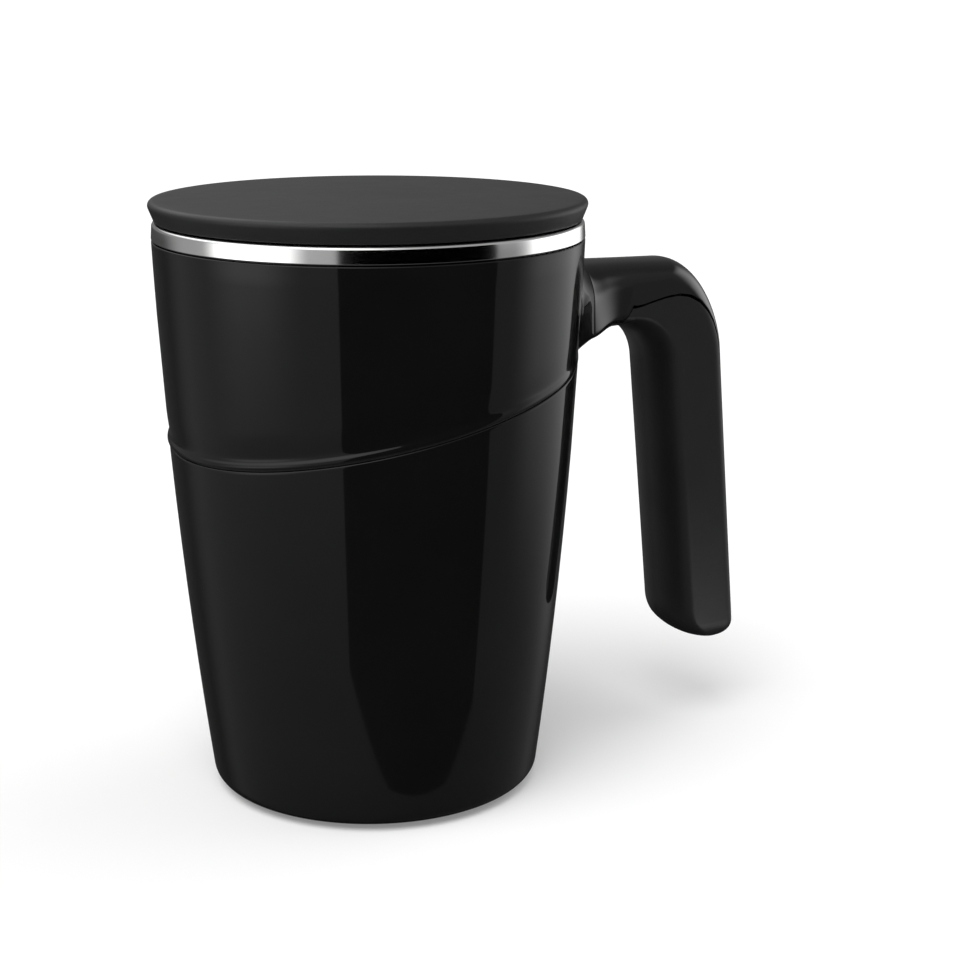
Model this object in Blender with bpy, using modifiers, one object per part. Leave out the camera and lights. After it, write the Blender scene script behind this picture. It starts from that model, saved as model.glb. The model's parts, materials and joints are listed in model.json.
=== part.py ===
"""A double-walled anti-spill mug with a suction foot, a plain lid and a hanging handle.

Metres, +Z up. The origin is on the mug's axis at the table, and the handle points along +X.
Pieces of the cup are modelled from the underside of its shell, which an empty lifts to its
standing height. The foot's pieces are modelled from the table.
"""
import math

import bmesh
import bpy
from mathutils import Matrix, Vector

# Fits that all pieces share
GAP = 0.0003                  # between faces that meet
OVERRUN = 0.002               # how far a cutter runs past what it cuts
RING_STEPS = 48               # faces round the wide turned pieces
INNER_STEPS = 32              # faces round the turned pieces inside the base
SMALL_STEPS = 16              # faces round fasteners and holes

# Outer form of the cup, from the underside of its shell
FOOT_STANDOFF = 0.0008        # height of that underside above the table
BASE_RADIUS = 0.03562
BAND_RADIUS = 0.0455
SHELL_HEIGHT = 0.11918
SIDE_BULGE = 0.00582          # how far the side bows out of a straight cone, times four
BASE_CORNER = 0.0036

# Walls
SHELL_WALL = 0.002
AIR_SPACE = 0.0015
LINER_WALL = 0.0007

# Tilted seam between the two shells, and the lip that laps inside it
SEAM_DROP = 0.03388           # from the shell's top down to the seam at the axis
SEAM_TILT = math.radians(11.66)
SEAM_WIDTH = 0.0008
SEAM_RING_THICK = 0.0004
SEAM_RING_WIDE = 0.00065
LAP_WALL = 0.001              # outer half of the wall, which stays on the upper shell
LIP_HEIGHT = 0.0045

# Steel liner and its rolled rim
BAND_HEIGHT = 0.00347         # bright band, from the shell's top to the rim
RIM_ROUND = 0.0007
LINER_FLOOR = 0.0189
LINER_CORNER = 0.006
RIM_SEAL_THICK = 0.0008
RIM_SEAL_WIDE = 0.0012

# Lower shell's floor, base plate and the cradle under the liner
FLOOR_THICK = 0.0026
FLOOR_RING = 0.00802          # from the base radius in to the floor's opening
PLATE_THICK = 0.002
PLATE_INSET = 0.00322         # from the base radius in to the base plate's rim
CRADLE_INSET = 0.00402
CRADLE_WALL = 0.0032
CRADLE_LEDGE = 0.0022
CRADLE_RING = 0.0101          # from the cradle's outside in to its opening
BASE_SCREW_INSET = 0.00522    # from the base radius in to the screws
BASE_SCREW_HEAD = 0.0017
BASE_SCREW_HEAD_THICK = 0.001
BASE_SCREW_SHANK = 0.0011
BASE_SCREW_LENGTH = 0.0098
BASE_SCREW_DEPTH = 0.0002     # how far its head lies inside the floor

# Suction foot, from the table
PAD_CLEARANCE = 0.0021        # to the floor's opening
PAD_THICK = 0.0022
PAD_LIP_WALL = 0.001
PAD_LIP_HEIGHT = 0.0012
PAD_BORE = 0.003
PAD_RING = 0.0065             # width of the flat ring at the pad's edge
PAD_CUP_DEPTH = 0.0005
PAD_CUP_FLAT = 0.0075
CARRIER_THICK = 0.002
CARRIER_STEP = 0.0004
CARRIER_STEP_WIDE = 0.0068
CARRIER_BORE = 0.0065

# Shoulder screws and springs that hold the foot up against the base plate
GUIDE_INSET = 0.0085          # from the pad's edge in to the screws
GUIDE_SHANK = 0.0016
GUIDE_HEAD = 0.0036
GUIDE_HEAD_THICK = 0.0016
SPRING_WIRE = 0.00035
SPRING_LENGTH = 0.0062
SPRING_TURNS = 4
SPRING_TURN_POINTS = 8

# Air valve on the axis
VALVE_TIP = 0.0027
VALVE_FLANGE = 0.0052
VALVE_FLANGE_THICK = 0.0008
VALVE_SHOULDER = 0.004
VALVE_STEM = 0.0022
VALVE_SEAL_THICK = 0.0006
NUT_RADIUS = 0.0044
NUT_THICK = 0.002
STEM_PROUD = 0.0007

# Lid
LID_THICK = 0.0043
LID_OVERHANG = 0.0008         # past the bright band
LID_EDGE_ROUND = 0.001
LID_FOOT_INSET = 0.00066      # lid's lower edge, inside the bright band
LID_TOP_WALL = 0.0018
LID_SKIRT_WALL = 0.0018
PLUG_CLEARANCE = 0.0008
PLUG_DEPTH = 0.0095
PLUG_WALL = 0.0015
PLUG_FLANGE = 0.0012
SEAL_GROOVE_DEPTH = 0.0011
SEAL_HEIGHT = 0.002
SEAL_DROP = 0.0045            # from the rim down to the seal's top

# Handle: its side outline lies in the XZ plane. A reach is measured out from the joint, and a
# drop down from the arm's top.
HANDLE_WIDTH = 0.02
NECK_REACH = 0.0045           # from the band's radius out to where the arm butts on the neck
ARM_DROP = 0.00878            # from the shell's top down to the arm's top
UNDERSIDE_DROP = 0.01405      # at UNDERSIDE_REACH
UNDERSIDE_REACH = 0.01
ARM_UNDERSIDE_RISE = math.radians(19.8)
GRIP_INNER_REACH = 0.01788    # at GRIP_LEVEL_DROP
GRIP_DEPTH = 0.01792          # at GRIP_LEVEL_DROP
GRIP_LEVEL_DROP = 0.0104
GRIP_OUTER_LEAN = math.radians(5.1)
GRIP_INNER_LEAN = math.radians(5.6)
BEND_OUTER_ARM = 0.0124
BEND_OUTER_GRIP = 0.0197
BEND_INNER = 0.0035
GRIP_END = 0.01814            # height of the grip's lower end
END_INNER_ROUND = 0.0089
END_OUTER_ROUND = 0.0041
END_SIDE_ROUND = 0.0051
CROWN_DEPTH = 0.0046          # outer face: an arch this deep over nearly the whole width
CROWN_FLAT = 0.0003           # half of the flat left in its middle
INNER_ROUND_DEPTH = 0.0047
INNER_ROUND_WIDE = 0.0071
FLARE_REACH = 0.0075
FLARE_WIDE = 0.0009
BEND_POWER = 1.2              # 1 is an ellipse, more is a flatter bend

# Neck on the upper shell that the arm butts on
NECK_HALF_WIDTH = 0.0155
NECK_RISE = 0.0031            # above the arm's top, where it runs into the body
NECK_DEPTH = 0.0095           # from the joint in to where its loft starts
NECK_CLEAR = 0.0006           # from the seam's edge up to the neck

# Parting line between the gloss arm and the matte grip
PART_ARM_DROP = 0.0082
PART_ROOT_REACH = 0.0095
PART_FOOT_REACH = 0.0071
PART_BEND_REACH = 0.0232
PART_BEND_DROP = 0.0145
STRIP_DEPTH = 0.0015          # the gloss strip's depth in the grip's outer face
STRIP_STOP = 0.00536          # from the grip's lower end up to the strip's

# Core inside the handle, and its screws
CORE_HALF_WIDTH = 0.005
CORE_ROOT_WALL_TOP = 0.0026   # arm's wall over the core where it butts on the neck
CORE_ROOT_WALL_BOTTOM = 0.0032
CORE_GRIP_WALL = 0.005
CORE_CHAMFER = 0.001
CORE_STOP = 0.01486           # from the grip's lower end up to the core's
HANDLE_SCREW_DROPS = (0.0092, 0.0048)
HANDLE_SCREW_HEAD = 0.0019
HANDLE_SCREW_HEAD_THICK = 0.0009
HANDLE_SCREW_SHANK = 0.0011
HANDLE_SCREW_REACH = 0.0085   # thread in the core

# Places of the handle's and the neck's sections, as shares of the stretch they divide
ARM_STEP_SHARES = (0, 0.15, 0.35, 0.6, 0.85)
END_STEP_SHARES = (0.25, 0.48, 0.68, 0.84, 0.95, 1)
NECK_STEP_SHARES = (0, 0.12, 0.25, 0.38, 0.5, 0.75, 1)

MERGE = 0.00001
FOOT_STACK = PAD_THICK + GAP + CARRIER_THICK + CARRIER_STEP
PLATE_RIM_Z = FLOOR_THICK + GAP
PLATE_UNDERSIDE = FOOT_STACK + GAP - FOOT_STANDOFF
PLATE_TOP = PLATE_UNDERSIDE + PLATE_THICK
CRADLE_BOTTOM = PLATE_RIM_Z + PLATE_THICK + GAP
CRADLE_TOP = LINER_FLOOR - LINER_WALL - GAP
RIM_HEIGHT = SHELL_HEIGHT + BAND_HEIGHT
SEAM_HEIGHT = SHELL_HEIGHT - SEAM_DROP
FLOOR_OPENING = BASE_RADIUS - FLOOR_RING
PLATE_RADIUS = BASE_RADIUS - PLATE_INSET
CRADLE_RADIUS = BASE_RADIUS - CRADLE_INSET
CRADLE_OPENING = CRADLE_RADIUS - CRADLE_RING
BASE_SCREW_CIRCLE = BASE_RADIUS - BASE_SCREW_INSET
PAD_RADIUS = FLOOR_OPENING - PAD_CLEARANCE
PAD_CUP_RADIUS = PAD_RADIUS - PAD_RING
GUIDE_CIRCLE = PAD_RADIUS - GUIDE_INSET
LID_RADIUS = BAND_RADIUS + LID_OVERHANG
LID_FOOT_RADIUS = BAND_RADIUS - LID_FOOT_INSET
JOINT_X = BAND_RADIUS + NECK_REACH
ARM_TOP = SHELL_HEIGHT - ARM_DROP
ARM_UNDERSIDE_X = JOINT_X + UNDERSIDE_REACH
ARM_UNDERSIDE = ARM_TOP - UNDERSIDE_DROP
GRIP_LEVEL = ARM_TOP - GRIP_LEVEL_DROP
GRIP_INNER_X = JOINT_X + GRIP_INNER_REACH
GRIP_OUTER_X = GRIP_INNER_X + GRIP_DEPTH
FLARE_START_X = JOINT_X + FLARE_REACH
NECK_TOP = ARM_TOP + NECK_RISE
PART_ARM_LEVEL = ARM_TOP - PART_ARM_DROP
PART_ROOT_X = JOINT_X + PART_ROOT_REACH
PART_FOOT_X = JOINT_X + PART_FOOT_REACH
PART_BEND_X = JOINT_X + PART_BEND_REACH
STRIP_END = GRIP_END + STRIP_STOP
CORE_END = GRIP_END + CORE_STOP


def clear_scene():
    """Remove the objects that Blender starts with."""
    for thing in list(bpy.data.objects):
        bpy.data.objects.remove(thing, do_unlink=True)


def make_collection(name):
    group = bpy.data.collections.new(name)
    bpy.context.scene.collection.children.link(group)
    return group


def make_material(name, colour, roughness, metallic=0.0):
    """A plain finish for one kind of piece."""
    finish = bpy.data.materials.new(name)
    finish.use_nodes = True
    shader = finish.node_tree.nodes["Principled BSDF"]
    shader.inputs["Base Color"].default_value = (*colour, 1.0)
    shader.inputs["Roughness"].default_value = roughness
    shader.inputs["Metallic"].default_value = metallic
    return finish


def make_frame(name, height):
    """An empty that carries the pieces of one moving body."""
    frame = bpy.data.objects.new(name, None)
    frame.location = (0, 0, height)
    PIECES.objects.link(frame)
    return frame


def add_object(name, data, frame, finish):
    """Put a piece in its collection. A cutter is a piece with no finish."""
    thing = bpy.data.objects.new(name, data)
    thing.parent = frame
    if finish is None:
        CUTTERS.objects.link(thing)
        thing.hide_render = True
        thing.display_type = "WIRE"
    else:
        PIECES.objects.link(thing)
        data.materials.append(finish)
    return thing


def turned(name, profile, frame, finish=None, steps=RING_STEPS, ring=True):
    """Turn a profile of (radius, height) points about the axis.

    The points run down the outer side. A ring's profile closes on itself, and any other
    starts and ends on the axis.
    """
    mesh = bpy.data.meshes.new(name)
    points = [(radius, 0, height) for radius, height in profile]
    edges = [(i, i + 1) for i in range(len(points) - 1)]
    if ring:
        edges.append((len(points) - 1, 0))
    mesh.from_pydata(points, edges, [])
    thing = add_object(name, mesh, frame, finish)
    screw = thing.modifiers.new("turn", "SCREW")
    screw.axis = "Z"
    screw.angle = math.tau
    screw.steps = steps
    screw.render_steps = steps
    screw.use_merge_vertices = True
    screw.merge_threshold = MERGE
    return thing


def box_ring(inner, outer, bottom, top):
    """The profile of a plain square ring."""
    return [(outer, top), (outer, bottom), (inner, bottom), (inner, top)]


def from_bmesh(name, shape, frame, finish=None):
    bmesh.ops.recalc_face_normals(shape, faces=shape.faces)
    mesh = bpy.data.meshes.new(name)
    shape.to_mesh(mesh)
    shape.free()
    return add_object(name, mesh, frame, finish)


def cylinder(name, radius, start, end, frame, finish=None, steps=SMALL_STEPS):
    """A round bar from one point to another."""
    start, end = Vector(start), Vector(end)
    shape = bmesh.new()
    bmesh.ops.create_cone(shape, cap_ends=True, segments=steps, radius1=radius,
                          radius2=radius, depth=(end - start).length)
    turn = (end - start).to_track_quat("Z", "Y").to_matrix().to_4x4()
    bmesh.ops.transform(shape, matrix=Matrix.Translation((start + end) / 2) @ turn, verts=shape.verts)
    return from_bmesh(name, shape, frame, finish)


def extruded(name, outline, half_width, frame, finish=None):
    """A flat outline in the XZ plane, given width along Y."""
    shape = bmesh.new()
    corners = [shape.verts.new((x, -half_width, z)) for x, z in outline]
    face = shape.faces.new(corners)
    grown = bmesh.ops.extrude_face_region(shape, geom=[face])
    moved = [v for v in grown["geom"] if isinstance(v, bmesh.types.BMVert)]
    bmesh.ops.translate(shape, vec=(0, half_width * 2, 0), verts=moved)
    return from_bmesh(name, shape, frame, finish)


def loft(name, rings, frame, finish=None):
    """Skin a row of unlike sections that all have the same number of points."""
    shape = bmesh.new()
    rows = [[shape.verts.new(point) for point in ring] for ring in rings]
    for near, far in zip(rows, rows[1:]):
        for i in range(len(near)):
            j = (i + 1) % len(near)
            shape.faces.new((near[i], near[j], far[j], far[i]))
    shape.faces.new(rows[0])
    shape.faces.new(rows[-1])
    return from_bmesh(name, shape, frame, finish)


def cut(thing, tool, operation="DIFFERENCE"):
    step = thing.modifiers.new(operation.lower(), "BOOLEAN")
    step.operation = operation
    step.object = tool
    step.solver = "EXACT"


def outer_radius(height):
    """Radius of the cup's outside at a height above its underside."""
    share = height / SHELL_HEIGHT
    straight = BASE_RADIUS + (BAND_RADIUS - BASE_RADIUS) * share
    return straight + SIDE_BULGE * share * (1 - share)


def side(start, end, inset, count):
    """Points of the cup's side between two heights, moved in towards the axis."""
    heights = [start + (end - start) * i / count for i in range(count + 1)]
    return [(outer_radius(height) - inset, height) for height in heights]


def arc(centre, radius, start, end, count):
    """Points round a corner, with angles in degrees from the outward direction."""
    angles = [math.radians(start + (end - start) * i / count) for i in range(count + 1)]
    return [(centre[0] + radius * math.cos(a), centre[1] + radius * math.sin(a)) for a in angles]


def seam_level(radius):
    """Height of the seam's middle on the handle's side, at a radius."""
    return SEAM_HEIGHT + math.tan(SEAM_TILT) * radius


def half_space(name, offset, above, frame):
    """A block whose one face lies along the seam, moved up by an offset."""
    size = SHELL_HEIGHT * 2
    shape = bmesh.new()
    bmesh.ops.create_cube(shape, size=size)
    lift = Matrix.Translation((0, 0, size / 2 if above else -size / 2))
    tilt = Matrix.Rotation(-SEAM_TILT, 4, "Y")
    place = Matrix.Translation((0, 0, SEAM_HEIGHT + offset))
    bmesh.ops.transform(shape, matrix=place @ tilt @ lift, verts=shape.verts)
    return from_bmesh(name, shape, frame)


def spots(radius, count, first):
    """Places on a circle round the axis, the first at an angle in degrees."""
    angles = [math.radians(first + 360 * i / count) for i in range(count)]
    return [(radius * math.cos(a), radius * math.sin(a)) for a in angles]


def fastener(name, spot, underside, head, head_thick, shank, tip, finish, frame):
    """A pan-head screw. Its head starts at a height and its shank runs on to its tip."""
    away = 1 if tip > underside else -1
    dimple = head_thick / 2
    near = underside
    far = underside + away * head_thick
    profile = [(0, near + away * dimple), (head / 2, near), (head, near), (head, far),
               (shank, far), (shank, tip), (0, tip)]
    if away > 0:
        profile.reverse()
    thing = turned(name, profile, frame, finish, steps=SMALL_STEPS, ring=False)
    thing.location = (spot[0], spot[1], 0)
    return thing


def drill(thing, name, radius, spot, bottom, top, frame):
    tool = cylinder(name, radius, (*spot, bottom), (*spot, top), frame)
    cut(thing, tool)


def build_shells(cup, gloss):
    """Upper and lower shell, lapped at the tilted seam, with the sealing ring between."""
    reach = math.tan(SEAM_TILT) * BAND_RADIUS
    low = SEAM_HEIGHT - reach - OVERRUN
    high = SEAM_HEIGHT + reach + LIP_HEIGHT + OVERRUN
    above_lip = half_space("above_lip", LIP_HEIGHT, True, cup)
    below_seam = half_space("below_seam", SEAM_WIDTH / 2, False, cup)
    above_seam = half_space("above_seam", -SEAM_WIDTH / 2, True, cup)
    pocket_top = half_space("pocket_top", LIP_HEIGHT + GAP, True, cup)

    lap_out = side(high + OVERRUN, low, -OVERRUN, 3)
    lap_in = side(low, high + OVERRUN, LAP_WALL + GAP, 3)
    outer_lap = turned("outer_lap", lap_out + lap_in, cup)
    cut(outer_lap, above_seam, "INTERSECT")

    pocket_out = side(high, low - OVERRUN, LAP_WALL, 3)
    pocket_in = side(low - OVERRUN, high, SHELL_WALL + OVERRUN, 3)
    pocket = turned("lip_pocket", pocket_out + pocket_in, cup)
    cut(pocket, pocket_top)

    lower = turned("lower_shell", lower_profile(high), cup, gloss)
    cut(lower, above_lip)
    cut(lower, outer_lap)
    drill_base(lower, "floor_hole", -OVERRUN, FLOOR_THICK + OVERRUN, cup, counterbore=True)

    upper = turned("upper_shell", upper_profile(low), cup, gloss)
    cut(upper, below_seam)
    cut(upper, pocket)
    cut(upper, neck(cup), "UNION")
    return upper, lower


def lower_profile(top):
    corner_x = outer_radius(BASE_CORNER) - BASE_CORNER
    inner_corner = BASE_CORNER / 2
    wall_x = outer_radius(FLOOR_THICK + inner_corner) - SHELL_WALL
    outside = side(top, BASE_CORNER, 0, 6)
    corner = arc((corner_x, BASE_CORNER), BASE_CORNER, 0, -90, 3)[1:]
    floor = [(FLOOR_OPENING, 0), (FLOOR_OPENING, FLOOR_THICK)]
    inside_corner = arc((wall_x - inner_corner, FLOOR_THICK + inner_corner), inner_corner, -90, 0, 2)
    inside = side(FLOOR_THICK + inner_corner, top, SHELL_WALL, 5)[1:]
    return outside + corner + floor + inside_corner + inside


def upper_profile(bottom):
    skirt_inside = BAND_RADIUS - LINER_WALL
    spigot_top = RIM_HEIGHT - LINER_WALL - RIM_SEAL_THICK - GAP * 2
    inner_x = outer_radius(SHELL_HEIGHT) - SHELL_WALL
    spigot = [(skirt_inside - GAP, spigot_top), (skirt_inside - GAP, SHELL_HEIGHT - GAP)]
    outside = side(SHELL_HEIGHT - GAP, bottom, 0, 4)
    inside = side(bottom, SHELL_HEIGHT - GAP, SHELL_WALL, 4)
    return spigot + outside + inside + [(inner_x, spigot_top)]


def build_seam_ring(cup, rubber):
    """The thin ring that fills the seam, a little below the surface."""
    reach = math.tan(SEAM_TILT) * BAND_RADIUS + OVERRUN
    low, high = SEAM_HEIGHT - reach, SEAM_HEIGHT + reach
    outer_inset = LAP_WALL - SEAM_RING_WIDE
    profile = side(high, low, outer_inset, 3) + side(low, high, LAP_WALL, 3)
    ring = turned("seam_gasket", profile, cup, rubber)
    cut(ring, half_space("ring_top", SEAM_RING_THICK / 2, True, cup))
    cut(ring, half_space("ring_bottom", -SEAM_RING_THICK / 2, False, cup))


def build_liner(cup, steel, rubber):
    """Steel cup whose rim rolls out and down over the upper shell, and its seal."""
    inset = SHELL_WALL + AIR_SPACE
    inner_inset = inset + LINER_WALL
    underside = LINER_FLOOR - LINER_WALL
    wall_low = LINER_FLOOR + LINER_CORNER
    floor_x = outer_radius(wall_low) - inner_inset - LINER_CORNER
    top_x = outer_radius(RIM_HEIGHT) - inner_inset
    floor = [(0, LINER_FLOOR)] + arc((floor_x, wall_low), LINER_CORNER, -90, 0, 3)
    inside = side(wall_low, RIM_HEIGHT - RIM_ROUND, inner_inset, 5)[1:]
    lip_in = arc((top_x + RIM_ROUND, RIM_HEIGHT - RIM_ROUND), RIM_ROUND, 180, 90, 2)[1:]
    lip_out_x = BAND_RADIUS - RIM_ROUND * 1.3
    lip_out = arc((lip_out_x, RIM_HEIGHT - RIM_ROUND), RIM_ROUND, 90, 0, 2)
    skirt_x = BAND_RADIUS - LINER_WALL
    skirt = [(BAND_RADIUS, SHELL_HEIGHT), (skirt_x, SHELL_HEIGHT), (skirt_x, RIM_HEIGHT - LINER_WALL)]
    outside = side(RIM_HEIGHT - LINER_WALL, wall_low, inset, 5)
    underneath = arc((floor_x, wall_low), LINER_CORNER + LINER_WALL, 0, -90, 3)[1:] + [(0, underside)]
    profile = floor + inside + lip_in + lip_out + skirt + outside + underneath
    turned("steel_liner", profile, cup, steel, ring=False)

    seal_top = RIM_HEIGHT - LINER_WALL - GAP
    seal_out = skirt_x - GAP
    seal = box_ring(seal_out - RIM_SEAL_WIDE, seal_out, seal_top - RIM_SEAL_THICK, seal_top)
    turned("rim_gasket", seal, cup, rubber)


def drill_base(thing, name, bottom, top, frame, counterbore=False):
    """Holes for the base screws, with room for their heads where asked."""
    for i, spot in enumerate(spots(BASE_SCREW_CIRCLE, 3, 90)):
        drill(thing, f"{name}_{i + 1}", BASE_SCREW_SHANK + GAP, spot, bottom, top, frame)
        if counterbore:
            roof = BASE_SCREW_DEPTH + BASE_SCREW_HEAD_THICK + GAP
            drill(thing, f"{name}_wide_{i + 1}", BASE_SCREW_HEAD + GAP, spot, bottom, roof, frame)


def build_base(cup, matte, steel):
    """Base plate, the cradle that carries the liner, and the screws that hold both."""
    rim_top = PLATE_RIM_Z + PLATE_THICK
    step_x = FLOOR_OPENING
    hole_x = VALVE_STEM + GAP
    profile = [(PLATE_RADIUS, rim_top), (PLATE_RADIUS, PLATE_RIM_Z), (step_x, PLATE_RIM_Z),
               (step_x - PLATE_THICK, PLATE_UNDERSIDE), (hole_x, PLATE_UNDERSIDE),
               (hole_x, PLATE_TOP), (step_x - PLATE_THICK, PLATE_TOP), (step_x, rim_top)]
    plate = turned("base_plate", profile, cup, matte, steps=INNER_STEPS)
    drill_base(plate, "plate_hole", 0, rim_top + OVERRUN, cup)
    for i, spot in enumerate(spots(GUIDE_CIRCLE, 3, 30)):
        hole_top = PLATE_TOP + OVERRUN
        drill(plate, f"guide_hole_{i + 1}", GUIDE_SHANK + GAP, spot, 0, hole_top, cup)

    inner = CRADLE_RADIUS - CRADLE_WALL
    ledge = CRADLE_TOP - CRADLE_LEDGE
    shoulder = outer_radius(LINER_FLOOR + LINER_CORNER) - SHELL_WALL - AIR_SPACE - LINER_WALL - LINER_CORNER
    profile = [(shoulder, CRADLE_TOP), (CRADLE_RADIUS, ledge), (CRADLE_RADIUS, CRADLE_BOTTOM),
               (inner, CRADLE_BOTTOM), (inner, ledge - CRADLE_WALL), (CRADLE_OPENING, ledge),
               (CRADLE_OPENING, CRADLE_TOP)]
    cradle = turned("liner_cradle", profile, cup, matte, steps=INNER_STEPS)
    head = BASE_SCREW_DEPTH
    tip = head + BASE_SCREW_HEAD_THICK + BASE_SCREW_LENGTH
    drill_base(cradle, "cradle_hole", 0, tip + GAP, cup)
    for i, spot in enumerate(spots(BASE_SCREW_CIRCLE, 3, 90)):
        fastener(f"base_screw_{i + 1}", spot, head, BASE_SCREW_HEAD, BASE_SCREW_HEAD_THICK,
                 BASE_SCREW_SHANK, tip, steel, cup)


def build_valve(cup, matte, rubber, steel):
    """Plug that closes the pad's vent, its seal, and the nut that holds it in the plate."""
    table = -FOOT_STANDOFF
    seal_bottom = table + PAD_THICK + GAP
    flange_bottom = seal_bottom + VALVE_SEAL_THICK + GAP
    flange_top = flange_bottom + VALVE_FLANGE_THICK
    shoulder_top = PLATE_UNDERSIDE - GAP
    nut_bottom = PLATE_TOP + GAP
    stem_top = nut_bottom + NUT_THICK + STEM_PROUD
    profile = [(0, stem_top), (VALVE_STEM, stem_top), (VALVE_STEM, shoulder_top),
               (VALVE_SHOULDER, shoulder_top), (VALVE_SHOULDER, flange_top), (VALVE_FLANGE, flange_top),
               (VALVE_FLANGE, flange_bottom), (VALVE_TIP, flange_bottom), (VALVE_TIP, table), (0, table)]
    turned("valve_plug", profile, cup, matte, steps=SMALL_STEPS, ring=False)
    seal = box_ring(VALVE_TIP + GAP, VALVE_FLANGE, seal_bottom, seal_bottom + VALVE_SEAL_THICK)
    turned("valve_seal", seal, cup, rubber, steps=SMALL_STEPS)
    nut = cylinder("valve_nut", NUT_RADIUS, (0, 0, nut_bottom), (0, 0, nut_bottom + NUT_THICK),
                   cup, steel, steps=6)
    drill(nut, "nut_bore", VALVE_STEM + GAP, (0, 0), PLATE_TOP - OVERRUN, stem_top + OVERRUN, cup)


def build_foot(foot, cup, rubber, matte, steel):
    """Suction pad, its carrier, and the shoulder screws and springs that hang it."""
    lip_top = PAD_THICK + PAD_LIP_HEIGHT
    lip_in = PAD_RADIUS - PAD_LIP_WALL
    slope_x = (PAD_CUP_RADIUS + PAD_CUP_FLAT) / 2
    profile = [(PAD_RADIUS, lip_top), (PAD_RADIUS, PAD_LIP_WALL), (PAD_RADIUS - PAD_LIP_WALL / 2, 0),
               (PAD_CUP_RADIUS, 0), (slope_x, PAD_CUP_DEPTH), (PAD_CUP_FLAT, PAD_CUP_DEPTH),
               (PAD_CUP_FLAT - PAD_CUP_DEPTH, 0), (PAD_BORE, 0), (PAD_BORE, PAD_THICK),
               (lip_in, PAD_THICK), (lip_in, lip_top)]
    turned("suction_pad", profile, foot, rubber)

    bottom = PAD_THICK + GAP
    top = bottom + CARRIER_THICK
    carrier_x = lip_in - GAP
    step_in, step_out = GUIDE_CIRCLE - CARRIER_STEP_WIDE / 2, GUIDE_CIRCLE + CARRIER_STEP_WIDE / 2
    profile = [(carrier_x, top), (carrier_x, bottom), (CARRIER_BORE, bottom), (CARRIER_BORE, top),
               (step_in, top), (step_in, FOOT_STACK), (step_out, FOOT_STACK), (step_out, top)]
    carrier = turned("pad_carrier", profile, foot, matte, steps=INNER_STEPS)

    rest = PLATE_TOP + FOOT_STANDOFF + GAP
    head_bottom = rest + SPRING_LENGTH + GAP
    head_top = head_bottom + GUIDE_HEAD_THICK
    for i, spot in enumerate(spots(GUIDE_CIRCLE, 3, 30)):
        drill(carrier, f"carrier_hole_{i + 1}", GUIDE_SHANK + GAP, spot, bottom - OVERRUN,
              FOOT_STACK + OVERRUN, foot)
        fastener(f"guide_screw_{i + 1}", spot, head_top, GUIDE_HEAD, GUIDE_HEAD_THICK,
                 GUIDE_SHANK, bottom, steel, foot)
        spring(f"return_spring_{i + 1}", spot, rest, cup, steel)


def spring(name, spot, rest, frame, finish):
    """A short coil spring standing on the base plate, under a shoulder screw's head."""
    coil = GUIDE_SHANK + GAP + SPRING_WIRE
    low = rest + SPRING_WIRE - FOOT_STANDOFF
    rise = SPRING_LENGTH - SPRING_WIRE * 2
    count = SPRING_TURNS * SPRING_TURN_POINTS
    curve = bpy.data.curves.new(name, "CURVE")
    curve.dimensions = "3D"
    curve.bevel_depth = SPRING_WIRE
    curve.bevel_resolution = 1
    curve.use_fill_caps = True
    line = curve.splines.new("POLY")
    line.points.add(count)
    for i in range(count + 1):
        turn = math.tau * i / SPRING_TURN_POINTS
        line.points[i].co = (coil * math.cos(turn), coil * math.sin(turn), low + rise * i / count, 1)
    thing = add_object(name, curve, frame, finish)
    thing.location = (spot[0], spot[1], 0)
    return thing


def build_lid(lid, soft_black, rubber):
    """Cover, the hollow plug under it, and the plug's seal. Heights from the rim."""
    bottom = GAP
    top = GAP + LID_THICK
    under = top - LID_TOP_WALL
    edge_z = top - LID_EDGE_ROUND
    rim = arc((LID_RADIUS - LID_EDGE_ROUND, edge_z), LID_EDGE_ROUND, 90, 0, 4)
    inner_foot = LID_FOOT_RADIUS - LID_SKIRT_WALL
    profile = [(0, top)] + rim + [(LID_FOOT_RADIUS, bottom), (inner_foot, bottom), (inner_foot, under),
                                  (0, under)]
    turned("lid_cover", profile, lid, soft_black, ring=False)

    plug_x = liner_inside(-PLUG_DEPTH) - PLUG_CLEARANCE
    flange_x = inner_foot - GAP
    flange_top = under - GAP
    flange_bottom = flange_top - PLUG_FLANGE
    groove_top = -SEAL_DROP + GAP
    groove_bottom = -SEAL_DROP - SEAL_HEIGHT - GAP
    groove_x = plug_x - SEAL_GROOVE_DEPTH
    wall_x = groove_x - PLUG_WALL
    floor = -PLUG_DEPTH + PLUG_WALL
    profile = [(0, floor), (wall_x, floor), (wall_x, flange_top), (flange_x, flange_top),
               (flange_x, flange_bottom), (plug_x, flange_bottom), (plug_x, groove_top),
               (groove_x, groove_top), (groove_x, groove_bottom), (plug_x, groove_bottom),
               (plug_x, -PLUG_DEPTH + PLUG_WALL / 2), (plug_x - PLUG_WALL / 2, -PLUG_DEPTH),
               (0, -PLUG_DEPTH)]
    turned("lid_plug", profile, lid, soft_black, ring=False)

    seal_out = liner_inside(-SEAL_DROP - SEAL_HEIGHT) - GAP
    middle = -SEAL_DROP - SEAL_HEIGHT / 2
    profile = [(plug_x, -SEAL_DROP), (seal_out, middle + GAP), (seal_out, middle - GAP),
               (plug_x, -SEAL_DROP - SEAL_HEIGHT), (groove_x + GAP, -SEAL_DROP - SEAL_HEIGHT),
               (groove_x + GAP, -SEAL_DROP)]
    turned("lid_seal", profile, lid, rubber)


def liner_inside(height):
    """The liner's inner radius at a height from the rim."""
    return outer_radius(RIM_HEIGHT + height) - SHELL_WALL - AIR_SPACE - LINER_WALL


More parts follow.
